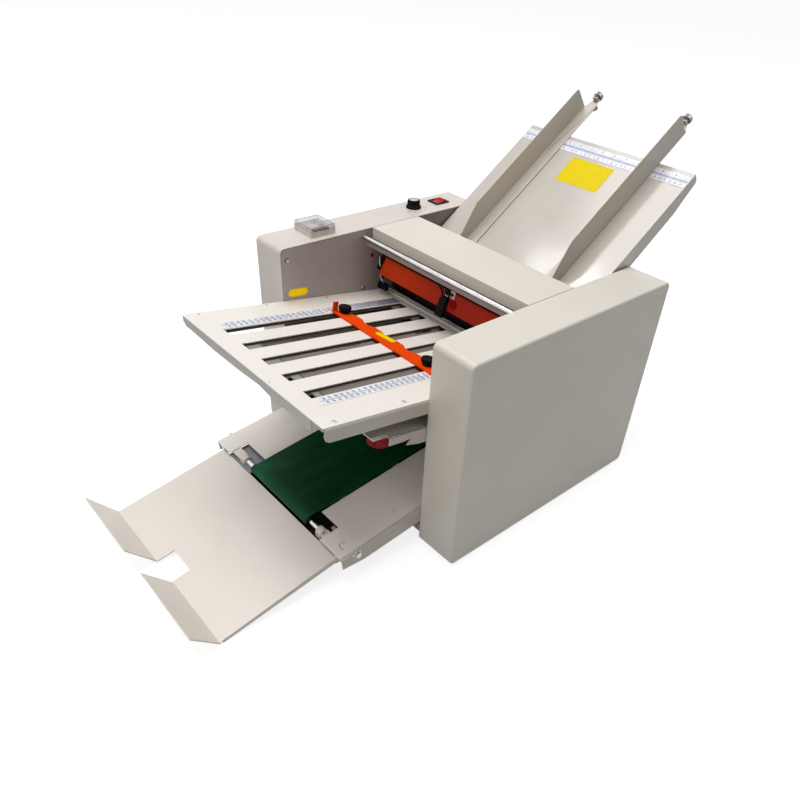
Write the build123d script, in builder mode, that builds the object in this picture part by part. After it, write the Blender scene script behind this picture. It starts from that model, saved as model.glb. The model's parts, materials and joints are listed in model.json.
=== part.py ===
"""Desk-top paper folding machine.

Sheets slide down the feed tray, a feed roller pushes them one by one between six fold rollers,
and four fold plates, two in front and two behind, catch each sheet until it buckles and folds.
A belt carries the folded sheets out over the extension tray.

Frame: millimetres, +Z up, +Y towards the feed tray, +X to the right as seen from the delivery end.
The origin is the middle of the footprint, on the surface that the machine stands on.
"""
import os
from math import cos, radians, sin, tan

from build123d import *

os.makedirs("parts", exist_ok=True)

# Driving dimensions
SHEET = 1.5                                  # thickness of the folded sheet steel
BOX_INNER, BOX_OUTER = 184.5, 260.0          # side boxes, from the middle plane
BOX_FRONT, BOX_REAR = -141.5, 305.7
BOX_BOTTOM, BOX_TOP = 3.5, 365.0
BOX_ROUND = 9.0                              # corner radius of a side box, seen from the side
FRAME_THICK = 3.0                            # side frame plates
FRAME_OUTER = BOX_INNER + FRAME_THICK
SHAFT_R, BORE_R, BUSH_R = 5.0, 5.05, 7.0     # shafts, bush bores, bush bodies

TRAY_Y, TRAY_Z, TRAY_ANGLE = 255.1, 363.8, 34.58    # where the feed tray passes the box tops
TRAY_HALF, TRAY_LOW, TRAY_TOP = 181.0, -110.0, 225.0
TRAY_SKIRT = 29.6                            # depth of the tray's side flanges
THROAT_HALF, THROAT_RUN = 58.0, 32.0         # cut-out in the tray's lower end for the feed roller
CROSS_SLOT_X, CROSS_SLOT_RUN = (62.0, 168.0), (-62.0, -54.0)     # guide clamps slide in it
GUIDE_X, GUIDE_HIGH, GUIDE_FLANGE = 110.5, 44.0, 25.0
GUIDE_LOW, GUIDE_WALL_END, GUIDE_END = -75.0, 297.0, 315.7
GUIDE_LIFT = 0.8                             # the guides' clearance over the tray
CLAMP_X, SCREW_X, SCREW_HIGH, SCREW_R = 98.0, 96.0, 5.0, 9.0     # the guides' screws
SCALE_LOW, SCALE_HIGH, SCALE_THICK = 192.0, 216.5, 0.5

PLATE_HALF, PLATE_GAP = 184.3, 3.5           # fold plates: half width, paper gap
PLATE_ANGLE, REAR_ANGLE = 8.65, 12.0
ENTRY_Y, REAR_ENTRY_Y = 91.0, 121.0
SLOT_PITCH, SLOT_WIDE, SLOT_NEAR = 52.25, 21.0, 31.0
PLATE_SCALE_X = (117.0, 137.0)
FRONT_PLATES = {1: (237.0, 415.0), 2: (187.9, 327.7)}      # entry height, length
REAR_PLATES = {3: (213.2, 330.0), 4: (163.2, 330.0)}

BAR_THICK, CLAMP_R, KNOB_R = 2.5, 3.0, 10.8                # stop bars and their clamp screws
BAR_1_RUN, BAR_2_RUN, BAR_REAR_RUN = 167.0, 296.0, 150.0   # where they stand, from the rollers

ROLLER_Y, ROLLER_TOP_Z, ROLLER_PITCH, ROLLER_R = 106.0, 247.5, 25.0, 12.3
ROLLER_HALF = 176.0
FEED_Y, FEED_Z, FEED_R = 150.4, 318.3, 20.0
GEAR_TEETH, GEAR_X, GEAR_WIDE = 20, 191.0, 8.0
PULLEY_X, OUTER_PULLEY_X, PULLEY_WIDE = 202.0, 213.0, 8.0
RUN = 0.35                                   # a belt's clearance round its pulleys
PULLEY_R = {"roller_1": 14.0, "roller_5": 16.0, "roller_6": 12.0, "feed": 18.0, "delivery": 14.0,
            "motor": 10.0}
MOTOR_Y, MOTOR_Z, MOTOR_R = 10.0, 140.0, 35.0
MOTOR_X = (214.0, 256.0)

TABLE_FRONT, TABLE_Z, TABLE_ANGLE = -293.5, 50.5, 7.33
TABLE_BACK, TABLE_HALF = 55.0, 183.3
BELT_HALF, BELT_THICK, BELT_ROLLER_R = 80.0, 1.3, 6.6
NOSE_Y, NOSE_Z, DRIVE_Y = -279.2, 48.0, 70.0
DRIVE_Z = NOSE_Z + (DRIVE_Y - NOSE_Y) * tan(radians(TABLE_ANGLE))

BEND_Y, BEND_Z, APRON_ANGLE = -486.5, 5.0, 11.0      # extension tray, from its bend to its pivot
APRON_BACK, APRON_HALF = -291.0, 166.0
PIVOT_Y, PIVOT_Z = -287.0, 41.0
FLARE_Y, FLARE_Z = -526.0, 52.3

HOOD_FRONT, HOOD_BACK, HOOD_LIP = 47.5, 153.0, 19.3
HOOD_PIVOT_Y, HOOD_PIVOT_Z, PIN_R = 145.0, 352.0, 3.0

CONTROL_X = -223.0                           # middle of the left box top
COUNTER_Y, KNOB_Y, SWITCH_Y = -47.0, 176.5, 240.0
KEY_Y = COUNTER_Y + 12.0
INLET_Z = 60.0


# Local frames: y runs along the sheet, z is the sheet's normal
def rising(y, z, angle):
    """A plane across the machine that climbs towards the rear."""
    return Plane((0, y, z), x_dir=(1, 0, 0), z_dir=(0, -sin(radians(angle)), cos(radians(angle))))


def rising_forward(y, z, angle):
    """A plane across the machine that climbs towards the front."""
    return Plane((0, y, z), x_dir=(-1, 0, 0), z_dir=(0, sin(radians(angle)), cos(radians(angle))))


def side_of(plane, x):
    """The plane's side view at local x: first axis along the sheet, second its normal."""
    return Plane(plane.origin + plane.x_dir * x, x_dir=plane.y_dir, z_dir=plane.x_dir)


TRAY = rising(TRAY_Y, TRAY_Z, TRAY_ANGLE)
TABLE = rising(TABLE_FRONT, TABLE_Z, TABLE_ANGLE)
BELT_LINE = rising(NOSE_Y, NOSE_Z, TABLE_ANGLE)
APRON = rising(BEND_Y, BEND_Z, APRON_ANGLE)
PLATES = {k: rising_forward(ENTRY_Y, z, PLATE_ANGLE) for k, (z, length) in FRONT_PLATES.items()}
PLATES.update({k: rising(REAR_ENTRY_Y, z, REAR_ANGLE) for k, (z, length) in REAR_PLATES.items()})
PLATE_LENGTH = {k: length for k, (z, length) in {**FRONT_PLATES, **REAR_PLATES}.items()}

FOLD_ROLLERS = [(ROLLER_Y, ROLLER_TOP_Z - k * ROLLER_PITCH) for k in range(6)]
FRAME_SHAFTS = FOLD_ROLLERS + [(FEED_Y, FEED_Z), (DRIVE_Y, DRIVE_Z)]
TIE_RODS, TIE_R = [(26.0, 353.0), (-100.0, 30.0), (282.0, 40.0), (270.0, 322.0)], 3.9


# Helpers
def save(solid, name):
    """Writes a finished piece, or a group of identical ones, to its own STEP file."""
    solid.label = name
    export_step(solid, f"parts/{name}.step")


def save_group(name, *solids):
    """Writes several separate solids as one node."""
    save(Compound(children=list(solids)), name)


def prism(plane, points, depth):
    """A solid of the given depth along the plane's normal, on the outline through the points."""
    with BuildPart() as solid:
        with BuildSketch(plane):
            with BuildLine():
                Polyline(*points, close=True)
            make_face()
        extrude(amount=depth)
    return solid.part


def bent_sheet(plane, line, depth, thick=SHEET):
    """A folded sheet: its face follows the line, and its thickness lies to the line's right."""
    turned = []
    for k, (a, b) in enumerate(line):
        normals = []
        for p, q in zip(line[max(k - 1, 0):k + 1], line[max(k - 1, 0) + 1:k + 2]):
            run = Vector(q[0] - p[0], q[1] - p[1]).normalized()
            normals.append(Vector(run.Y, -run.X))
        mitre = normals[0] + normals[-1]
        reach = 2 * thick / mitre.dot(mitre)
        turned.append((a + mitre.X * reach, b + mitre.Y * reach))
    return prism(plane, list(line) + turned[::-1], depth)


def bar(plane, x, y, z):
    """A block between two corners, each given as its (low, high) pair in the plane's axes."""
    corners = [(x[0], y[0]), (x[1], y[0]), (x[1], y[1]), (x[0], y[1])]
    return prism(plane.offset(z[0]), corners, z[1] - z[0])


def across(y, z, radius, x_low, x_high, hole=0.0):
    """A round bar along X, or a tube where a hole radius is given."""
    with BuildPart() as round_bar:
        with BuildSketch(Plane.YZ.offset(x_low)):
            with Locations((y, z)):
                Circle(radius)
                if hole:
                    Circle(hole, mode=Mode.SUBTRACT)
        extrude(amount=x_high - x_low)
    return round_bar.part


def upright(plane, x, y, radius, low, high, hole=0.0):
    """A round bar along the plane's normal at (x, y), from height low to height high."""
    with BuildPart() as round_bar:
        with BuildSketch(plane.offset(low)):
            with Locations((x, y)):
                Circle(radius)
                if hole:
                    Circle(hole, mode=Mode.SUBTRACT)
        extrude(amount=high - low)
    return round_bar.part


def along(x, z, radius, low, high):
    """A round bar along the feed tray's slope, at height z over the tray."""
    with BuildPart() as round_bar:
        with BuildSketch(Plane(TRAY.origin + TRAY.y_dir * low, x_dir=(1, 0, 0), z_dir=TRAY.y_dir)):
            with Locations((x, -z)):
                Circle(radius)
        extrude(amount=high - low)
    return round_bar.part


def loop(centre_a, radius_a, centre_b, radius_b, thick, x_low, x_high):
    """A flat belt round two pulleys whose axes lie along X."""
    with BuildPart() as belt:
        for grow, mode in ((thick, Mode.ADD), (0, Mode.SUBTRACT)):
            with BuildSketch(Plane.YZ.offset(x_low)):
                with Locations(centre_a):
                    Circle(radius_a + grow)
                with Locations(centre_b):
                    Circle(radius_b + grow)
                make_hull()
            extrude(amount=x_high - x_low, mode=mode)
    return belt.part


# Side boxes: a steel frame plate each, closed by a deep-drawn cover
def side_frame(x_low):
    """A frame plate with a bushed hole for every shaft that crosses the machine."""
    edge = SHEET + 0.7
    high = BOX_TOP - BOX_BOTTOM - 2 * edge
    with BuildPart() as frame:
        with BuildSketch(Plane.YZ.offset(x_low)):
            with Locations(((BOX_FRONT + BOX_REAR) / 2, (BOX_BOTTOM + BOX_TOP) / 2)):
                RectangleRounded(BOX_REAR - BOX_FRONT - 2 * edge, high, BOX_ROUND)
            with Locations(*FRAME_SHAFTS):
                Circle(BUSH_R + 0.1, mode=Mode.SUBTRACT)
        extrude(amount=FRAME_THICK)
    return frame.part


def side_cover(side):
    """A box open towards the middle of the machine; side is -1 on the left and 1 on the right."""
    depth = BOX_OUTER - BOX_INNER
    with BuildPart() as cover:
        with BuildSketch(Plane.YZ.offset(side * BOX_INNER)):
            with Locations(((BOX_FRONT + BOX_REAR) / 2, (BOX_BOTTOM + BOX_TOP) / 2)):
                RectangleRounded(BOX_REAR - BOX_FRONT, BOX_TOP - BOX_BOTTOM, BOX_ROUND)
        extrude(amount=side * depth)
        outer = cover.faces().sort_by(Axis.X)[0 if side < 0 else -1]
        fillet(outer.edges(), radius=4.0)
        inner = cover.faces().sort_by(Axis.X)[-1 if side < 0 else 0]
        offset(amount=-SHEET, openings=inner)
        if side < 0:
            control_holes = ((COUNTER_Y, 40.0, 38.0), (KNOB_Y, 9.0, 9.0), (SWITCH_Y, 22.0, 26.0))
            for y, size_x, size_y in control_holes:
                with Locations((CONTROL_X, y, BOX_TOP)):
                    Box(size_x, size_y, 20.0, mode=Mode.SUBTRACT)
            with Locations((CONTROL_X, BOX_REAR, INLET_Z)):
                Box(28.0, 20.0, 20.0, mode=Mode.SUBTRACT)
    return cover.part


save(side_frame(-FRAME_OUTER), "side_frame_left")
save(side_frame(BOX_INNER), "side_frame_right")
save(side_cover(-1), "side_cover_left")
save(side_cover(1), "side_cover_right")

FOOT_X, FOOT_Y, FOOT_R = 222.0, (-115.0, 280.0), 12.0
feet = [upright(Plane.XY, x, y, FOOT_R, 0, BOX_BOTTOM) for x in (-FOOT_X, FOOT_X) for y in FOOT_Y]
save_group("rubber_feet", *feet)

BASE_Z, BASE_EDGE, BASE_THICK = 5.5, 16.5, 2.0
base = [(-130, BASE_Z + BASE_EDGE), (-130, BASE_Z), (296, BASE_Z), (296, BASE_Z + BASE_EDGE)]
save(bent_sheet(Plane.YZ.offset(0.2 - BOX_INNER), base, 2 * (BOX_INNER - 0.2), -BASE_THICK), "base_plate")
rod_half = BOX_INNER - 0.1
save_group("tie_rods", *[across(y, z, TIE_R, -rod_half, rod_half) for y, z in TIE_RODS])


# Bushes: a body through the frame plate and a flange on its outer face
def bush(y, z, side):
    """One flanged bush in a side frame."""
    flange_end = side * (FRAME_OUTER + 2.0)
    with BuildPart() as one:
        add(across(y, z, BUSH_R, *sorted((side * BOX_INNER, flange_end)), BORE_R))
        add(across(y, z, BUSH_R + 2.0, *sorted((side * FRAME_OUTER, flange_end)), BORE_R))
    return one.part


save_group("bearing_bushes", *[bush(y, z, side) for y, z in FRAME_SHAFTS for side in (-1, 1)])


# Rollers: a steel shaft, its covering, and the gear or pulley on its right end
def gear(y, z, turned):
    """A spur gear whose pitch circle touches its neighbour's half-way between the rollers."""
    pitch_r = ROLLER_PITCH / 2
    tip_r, root_r = pitch_r + 1.0, pitch_r - 1.35
    half_tooth = ((root_r, 4.4), (pitch_r, 3.2), (tip_r, 1.7))    # radius, half angle in degrees
    points = []
    for k in range(GEAR_TEETH):
        middle = 90 + (k + turned / 2) * 360 / GEAR_TEETH
        tooth = [(r, middle - a) for r, a in half_tooth] + [(r, middle + a) for r, a in half_tooth[::-1]]
        points += [(y + r * cos(radians(a)), z + r * sin(radians(a))) for r, a in tooth]
    with BuildPart() as wheel:
        add(prism(Plane.YZ.offset(GEAR_X), points, GEAR_WIDE))
        add(across(y, z, SHAFT_R, GEAR_X, GEAR_X + GEAR_WIDE), mode=Mode.SUBTRACT)
    return wheel.part


def pulley(y, z, radius, x_low):
    """A plain pulley on a shaft."""
    return across(y, z, radius, x_low, x_low + PULLEY_WIDE, SHAFT_R)


SHAFT_LEFT = -FRAME_OUTER - 6.0
SHAFT_INNER, SHAFT_OUTER = PULLEY_X + PULLEY_WIDE + 1.0, OUTER_PULLEY_X + PULLEY_WIDE + 1.0
ROLLER_PULLEYS = {1: (PULLEY_R["roller_1"], PULLEY_X, SHAFT_INNER),
                  5: (PULLEY_R["roller_5"], PULLEY_X, SHAFT_INNER),
                  6: (PULLEY_R["roller_6"], OUTER_PULLEY_X, SHAFT_OUTER)}
for number, (y, z) in enumerate(FOLD_ROLLERS, start=1):
    shaft_end = GEAR_X + GEAR_WIDE + 1.0
    pieces = [across(y, z, ROLLER_R, -ROLLER_HALF, ROLLER_HALF, SHAFT_R), gear(y, z, number % 2)]
    if number in ROLLER_PULLEYS:
        radius, pulley_x, shaft_end = ROLLER_PULLEYS[number]
        pieces.append(pulley(y, z, radius, pulley_x))
    save_group(f"fold_roller_{number}", across(y, z, SHAFT_R, SHAFT_LEFT, shaft_end), *pieces)

SLEEVE_X, SLEEVE_HALF = 32.0, 22.0
feed_sleeves = [across(FEED_Y, FEED_Z, FEED_R, x - SLEEVE_HALF, x + SLEEVE_HALF, SHAFT_R)
                for x in (-SLEEVE_X, SLEEVE_X)]
save_group("feed_roller", across(FEED_Y, FEED_Z, SHAFT_R, SHAFT_LEFT, SHAFT_INNER),
           pulley(FEED_Y, FEED_Z, PULLEY_R["feed"], PULLEY_X), *feed_sleeves)

BELT_ROLLER_HALF, NOSE_SHAFT_R, NOSE_SHAFT_HALF = BELT_HALF + 1.3, 3.6, 113.0
save_group("belt_drive_roller", across(DRIVE_Y, DRIVE_Z, SHAFT_R, SHAFT_LEFT, SHAFT_OUTER),
           across(DRIVE_Y, DRIVE_Z, BELT_ROLLER_R, -BELT_ROLLER_HALF, BELT_ROLLER_HALF, SHAFT_R),
           pulley(DRIVE_Y, DRIVE_Z, PULLEY_R["delivery"], OUTER_PULLEY_X))
save_group("belt_front_roller", across(NOSE_Y, NOSE_Z, NOSE_SHAFT_R, -NOSE_SHAFT_HALF, NOSE_SHAFT_HALF),
           across(NOSE_Y, NOSE_Z, BELT_ROLLER_R, -BELT_ROLLER_HALF, BELT_ROLLER_HALF, NOSE_SHAFT_R))

# Motor in the right box, on three studs, and the belts that it drives
STUD_R, STUD_REACH = 4.0, 28.0
with BuildPart() as motor:
    add(across(MOTOR_Y, MOTOR_Z, MOTOR_R, *MOTOR_X))
    add(across(MOTOR_Y, MOTOR_Z, 15.0, MOTOR_X[0] - 2.5, MOTOR_X[0]))
    for y, z in ((0, STUD_REACH), (-STUD_REACH, 0), (0, -STUD_REACH)):
        add(across(MOTOR_Y + y, MOTOR_Z + z, STUD_R, FRAME_OUTER, MOTOR_X[0] + 1))
save(motor.part, "motor")
save_group("motor_pulley", across(MOTOR_Y, MOTOR_Z, SHAFT_R, PULLEY_X - 6, MOTOR_X[0] - 3),
           pulley(MOTOR_Y, MOTOR_Z, PULLEY_R["motor"], PULLEY_X))


def drive_belt(centre_a, wheel_a, centre_b, wheel_b, pulley_x):
    """A belt round two pulleys, a little narrower than they are."""
    radius_a, radius_b = PULLEY_R[wheel_a] + RUN, PULLEY_R[wheel_b] + RUN
    return loop(centre_a, radius_a, centre_b, radius_b, 1.5, pulley_x + 1, pulley_x + PULLEY_WIDE - 1)


save_group("drive_belts",
           drive_belt((MOTOR_Y, MOTOR_Z), "motor", FOLD_ROLLERS[4], "roller_5", PULLEY_X),
           drive_belt(FOLD_ROLLERS[0], "roller_1", (FEED_Y, FEED_Z), "feed", PULLEY_X),
           drive_belt(FOLD_ROLLERS[5], "roller_6", (DRIVE_Y, DRIVE_Z), "delivery", OUTER_PULLEY_X))


# Feed tray with its scale, and the separator pad at its lower end
with BuildPart() as feed_tray:
    add(bar(TRAY, (-TRAY_HALF, TRAY_HALF), (TRAY_LOW, TRAY_TOP), (-SHEET, 0)))
    tray_skirt = [(TRAY_TOP, 0), (TRAY_TOP - 2.5, -17), (206, -19.5), (158, -27.5), (43, -TRAY_SKIRT),
                  (TRAY_LOW + 20, -TRAY_SKIRT), (TRAY_LOW, -12), (TRAY_LOW, 0)]
    for x in (-TRAY_HALF, TRAY_HALF - SHEET):
        add(prism(side_of(TRAY, x), tray_skirt, SHEET))
    add(bar(TRAY, (-TRAY_HALF, TRAY_HALF), (TRAY_TOP - SHEET, TRAY_TOP), (-14, 0)))
    through = (-SHEET - 1, 1)
    for side in (-1, 1):
        cross_slot = sorted(side * x for x in CROSS_SLOT_X)
        add(bar(TRAY, cross_slot, CROSS_SLOT_RUN, through), mode=Mode.SUBTRACT)
    throat = (TRAY_LOW - 1, TRAY_LOW + THROAT_RUN)
    add(bar(TRAY, (-THROAT_HALF, THROAT_HALF), throat, through), mode=Mode.SUBTRACT)
save(feed_tray.part, "feed_tray")

with BuildPart() as separator_pad:
    add(bar(TRAY, (4 - THROAT_HALF, THROAT_HALF - 4), (TRAY_LOW + 4, TRAY_LOW + THROAT_RUN - 4), (-10, 0.8)))
    add(across(FEED_Y, FEED_Z, FEED_R + 0.5, -THROAT_HALF, THROAT_HALF), mode=Mode.SUBTRACT)
save(separator_pad.part, "separator_pad")


# Paper guides: an upright wall with a flange on the tray, clamped through the cross slot
def feed_guide(side):
    """One guide with its clamp screw and end bumper; side is -1 on the left and 1 on the right."""
    inner = GUIDE_X - GUIDE_FLANGE
    wall = [(GUIDE_LOW, GUIDE_LIFT), (GUIDE_WALL_END, GUIDE_LIFT), (GUIDE_WALL_END - 4, GUIDE_HIGH - 2),
            (GUIDE_WALL_END - 9, GUIDE_HIGH), (-2, GUIDE_HIGH), (-61, 20), (GUIDE_LOW, 14)]
    tab = (SCREW_X - 6, SCREW_X + 6)
    foot = [(inner, GUIDE_LOW), (GUIDE_X, GUIDE_LOW), (GUIDE_X, GUIDE_WALL_END),
            (GUIDE_X - 4, GUIDE_WALL_END + 5), (tab[1], GUIDE_END), (tab[0], GUIDE_END), (inner, GUIDE_WALL_END)]
    with BuildPart() as guide:
        add(prism(side_of(TRAY, min(side * GUIDE_X, side * (GUIDE_X - SHEET))), wall, SHEET))
        add(prism(TRAY.offset(GUIDE_LIFT), [(side * x, y) for x, y in foot], SHEET))
        add(bar(TRAY, sorted(side * x for x in tab), (GUIDE_END - SHEET, GUIDE_END), (GUIDE_LIFT, 10)))
        add(along(side * SCREW_X, SCREW_HIGH, 2.56, GUIDE_END - 5, GUIDE_END + 5), mode=Mode.SUBTRACT)
    run = sum(CROSS_SLOT_RUN) / 2
    clamp = [upright(TRAY, side * CLAMP_X, run, CLAMP_R, -12, GUIDE_LIFT),
             upright(TRAY, side * CLAMP_X, run, 9.0, -7, -SHEET - 0.3, CLAMP_R)]
    with BuildPart() as bumper:
        for height, radius in ((-10, 6.2), (GUIDE_LIFT - 0.1, 3.2)):
            with BuildSketch(TRAY.offset(height)):
                with Locations((side * SCREW_X, GUIDE_END - 8)):
                    Circle(radius)
        loft()
    return guide.part, clamp + [bumper.part]


for name, side in (("left", -1), ("right", 1)):
    guide, clamp = feed_guide(side)
    save_group(f"feed_guide_{name}", guide, *clamp)
    with BuildPart() as thumbscrew:
        add(along(side * SCREW_X, SCREW_HIGH, 2.5, GUIDE_END - 10, GUIDE_END + 4))
        add(along(side * SCREW_X, SCREW_HIGH, SCREW_R, GUIDE_END + 3, GUIDE_END + 12))
    save(thumbscrew.part, f"guide_thumbscrew_{name}")


# Fold plates: two sheets with a paper gap, slotted for the fingers of the stop bar
TOP_LOW, TOP_HIGH = PLATE_GAP / 2, PLATE_GAP / 2 + SHEET
SLOTS = [k * SLOT_PITCH for k in (-2, -1, 0, 1, 2)]
FRONT_SKIRT, REAR_SKIRT = 24.0, 18.0         # depth of the upper sheets' side flanges


def slotted_sheet(plane, half, start, length, low, slot_start, slot_end):
    """A flat sheet with five long slots along the paper's way."""
    with BuildPart() as sheet:
        add(bar(plane, (-half, half), (start, length), (low, low + SHEET)))
        for x in SLOTS:
            gap = (x - SLOT_WIDE / 2, x + SLOT_WIDE / 2)
            add(bar(plane, gap, (slot_start, slot_end), (low - 1, low + SHEET + 1)), mode=Mode.SUBTRACT)
    return sheet.part


def flanged_sheet(plane, half, start, length, slot_start, slot_end, flange):
    """The upper sheet of a fold plate, with a flange turned down along each side."""
    with BuildPart() as sheet:
        add(slotted_sheet(plane, half, start, length, TOP_LOW, slot_start, slot_end))
        for x in (-half, half - SHEET):
            add(prism(side_of(plane, x), flange, SHEET))
    return sheet.part


with BuildPart() as plate_1_top:
    length = PLATE_LENGTH[1]
    front = length - 4
    skirt = [(22, TOP_HIGH), (front, TOP_HIGH), (front, TOP_HIGH - 14), (front - 3.5, TOP_HIGH - 21),
             (front - 10, TOP_HIGH - FRONT_SKIRT), (22, TOP_HIGH - FRONT_SKIRT)]
    add(flanged_sheet(PLATES[1], PLATE_HALF, 18, length, SLOT_NEAR, 383.5, skirt))
save(plate_1_top.part, "fold_plate_1_top")

# Its lower sheet carries the bowed front lip. It is open under the two left slots and slit under
# the others, with a hole at the rear of every slot; a strip at the rollers has five small windows.
# Each opening is (across, across, run, run), the first two from the middle of its slot.
REAR_HOLE = (-9, 1, 24.5, 38.5)
LOWER_OPENINGS = {
    -2: [REAR_HOLE, (-10.5, 10.5, 53, 383.5)],
    -1: [REAR_HOLE, (-10.5, 10.5, 53, 353)],
    0: [REAR_HOLE, (-10.5, -4, 52, 89), (-10.5, -6, 180, 334)],
    1: [REAR_HOLE, (-10.5, -9, 145, 334), (-10, 5, 370, 380)],
    2: [REAR_HOLE, (-10, 6, 370, 380)]}
with BuildPart() as plate_1_bottom:
    sheet_half = PLATE_HALF - SHEET - 0.4
    add(bar(PLATES[1], (-sheet_half, sheet_half), (2, length - 2), (-TOP_HIGH, -TOP_LOW)))
    for k, openings in LOWER_OPENINGS.items():
        for left, right, near, far in openings:
            gap = (-k * SLOT_PITCH - right, -k * SLOT_PITCH - left)
            add(bar(PLATES[1], gap, (near, far), (-5, 0)), mode=Mode.SUBTRACT)
    lip = [(-184, -1), (-184, -9), (-178, -14), (-128, -15.5), (-91, -17), (-20, -15.7), (34, -12.5),
           (50, -15), (74, -18.2), (158, -17.3), (158, -1)]
    lip_top = PLATES[1].from_local_coords(Vector(0, length - 2.4, TOP_LOW))
    add(prism(Plane(lip_top, x_dir=(1, 0, 0), z_dir=(0, -1, 0)), lip, SHEET))
    add(bar(PLATES[1], (-158, 182), (length - 12, length - 2.5), (-TOP_HIGH, -TOP_LOW)))

with BuildPart() as plate_1_edge:
    add(bar(PLATES[1], (-PLATE_HALF, PLATE_HALF), (1, 17.6), (TOP_LOW, TOP_HIGH)))
    for x in SLOTS:
        add(bar(PLATES[1], (x - 8, x + 8), (10, 15), (TOP_LOW - 1, TOP_HIGH + 1)), mode=Mode.SUBTRACT)
save_group("fold_plate_1_bottom", plate_1_bottom.part, plate_1_edge.part)

with BuildPart() as plate_2_top:
    length = PLATE_LENGTH[2]
    corner = length - 24
    skirt = [(22, TOP_HIGH), (corner, TOP_HIGH), (corner, TOP_HIGH - 12), (276, TOP_HIGH - 12),
             (262, TOP_HIGH - 10), (270, TOP_HIGH - 20), (244, TOP_HIGH - FRONT_SKIRT),
             (22, TOP_HIGH - FRONT_SKIRT)]
    add(flanged_sheet(PLATES[2], TABLE_HALF, 4, length, SLOT_NEAR, 321, skirt))
    for side in (-1, 1):
        cut = sorted((side * 171.0, side * 190.0))
        add(bar(PLATES[2], cut, (corner, length + 1), (-30, 10)), mode=Mode.SUBTRACT)
plate_2_bottom = slotted_sheet(PLATES[2], 170.0, 2, length - 5, -TOP_HIGH, SLOT_NEAR, 321)
save_group("fold_plate_2", plate_2_top.part, plate_2_bottom)

for number in (3, 4):
    length = PLATE_LENGTH[number]
    skirt = [(8, TOP_HIGH), (length, TOP_HIGH), (length, TOP_HIGH - 10), (length - 8, TOP_HIGH - REAR_SKIRT),
             (8, TOP_HIGH - REAR_SKIRT)]
    lower_half = TABLE_HALF - SHEET - 0.4
    upper = flanged_sheet(PLATES[number], TABLE_HALF, 4, length, SLOT_NEAR, 300, skirt)
    lower = slotted_sheet(PLATES[number], lower_half, 2, length - 3, -TOP_HIGH, SLOT_NEAR, 300)
    save_group(f"fold_plate_{number}", upper, lower)

tray_scale = bar(TRAY, (1 - TRAY_HALF, TRAY_HALF - 1), (SCALE_LOW, SCALE_HIGH), (0, SCALE_THICK))
scale_high = (TOP_HIGH, TOP_HIGH + SCALE_THICK)
plate_scales = [bar(PLATES[1], sorted(side * x for x in PLATE_SCALE_X), (30, 384), scale_high)
                for side in (-1, 1)]
save_group("rulers", tray_scale, *plate_scales)


# Stop bars: a bar across the plate with a finger in every slot, clamped by two knobs
BAR_FRONT, BAR_DIP, BAR_BULGE = 16.0, -6.0, -11.5          # the bar's edges, from its clamp screws
TAB_LONG, TAB_HIGH = 22.0, 14.0                            # the tab bent up at each end


def bar_outline(y, low_end, high_end):
    """The bar's outline: a straight front edge, and a rear edge that dips at every slot."""
    points = [(high_end, y + BAR_DIP), (high_end, y + BAR_FRONT), (low_end, y + BAR_FRONT), (low_end, y + BAR_DIP)]
    for left in SLOTS[:-1]:
        middle = left + SLOT_PITCH / 2
        points += [(middle + x, y + rear) for x, rear in ((-20, BAR_DIP), (-9, BAR_BULGE), (9, BAR_BULGE),
                                                          (20, BAR_DIP))]
    return points


def stop_bar(plane, y, ends, side, standoff, tab_long=TAB_LONG, tab_high=TAB_HIGH):
    """A bar at height standoff from the paper gap's middle; side is 1 above the plate, -1 below it."""
    fingertip = PLATE_GAP / 2 - 0.25
    low, high = sorted((side * standoff, side * (standoff + BAR_THICK)))
    finger = sorted((-side * fingertip, side * (standoff + 0.5)))
    front = y + BAR_FRONT
    end_tab = sorted((side * standoff, side * (standoff + tab_high)))
    with BuildPart() as body:
        add(prism(plane.offset(low), bar_outline(y, *ends), high - low))
        for x in SLOTS:
            add(bar(plane, (x - 8, x + 8), (front - 4, front - 1.5), finger))
        for x in (ends[0], ends[1] - BAR_THICK + 0.5):
            add(bar(plane, (x, x + BAR_THICK - 0.5), (front - tab_long, front), end_tab))
        for x in CLAMPS:
            add(upright(plane, x, y, CLAMP_R + 0.1, low - 1, high + 1), mode=Mode.SUBTRACT)
    return body.part


def stop_knob(plane, x, y, side, standoff, stem_low):
    """A round clamp knob with its screw through the bar and the slot."""
    base = standoff + BAR_THICK + 0.2
    with BuildPart() as knob:
        add(upright(plane, x, y, KNOB_R, *sorted((side * base, side * (base + 11.5)))))
        add(upright(plane, x, y, CLAMP_R, *sorted((side * stem_low, side * (base + 1)))))
    return knob.part


def clamp_nut(x):
    """A flat nut in the upper fold plate's paper gap, under its slot."""
    half_high = TOP_LOW - 0.3
    with BuildPart() as nut:
        add(bar(PLATES[1], (x - 14, x + 14), (BAR_1_RUN - 6, BAR_1_RUN + 6), (-half_high, half_high)))
        add(upright(PLATES[1], x, BAR_1_RUN, CLAMP_R + 0.1, -5, 5), mode=Mode.SUBTRACT)
    return nut.part


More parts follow.
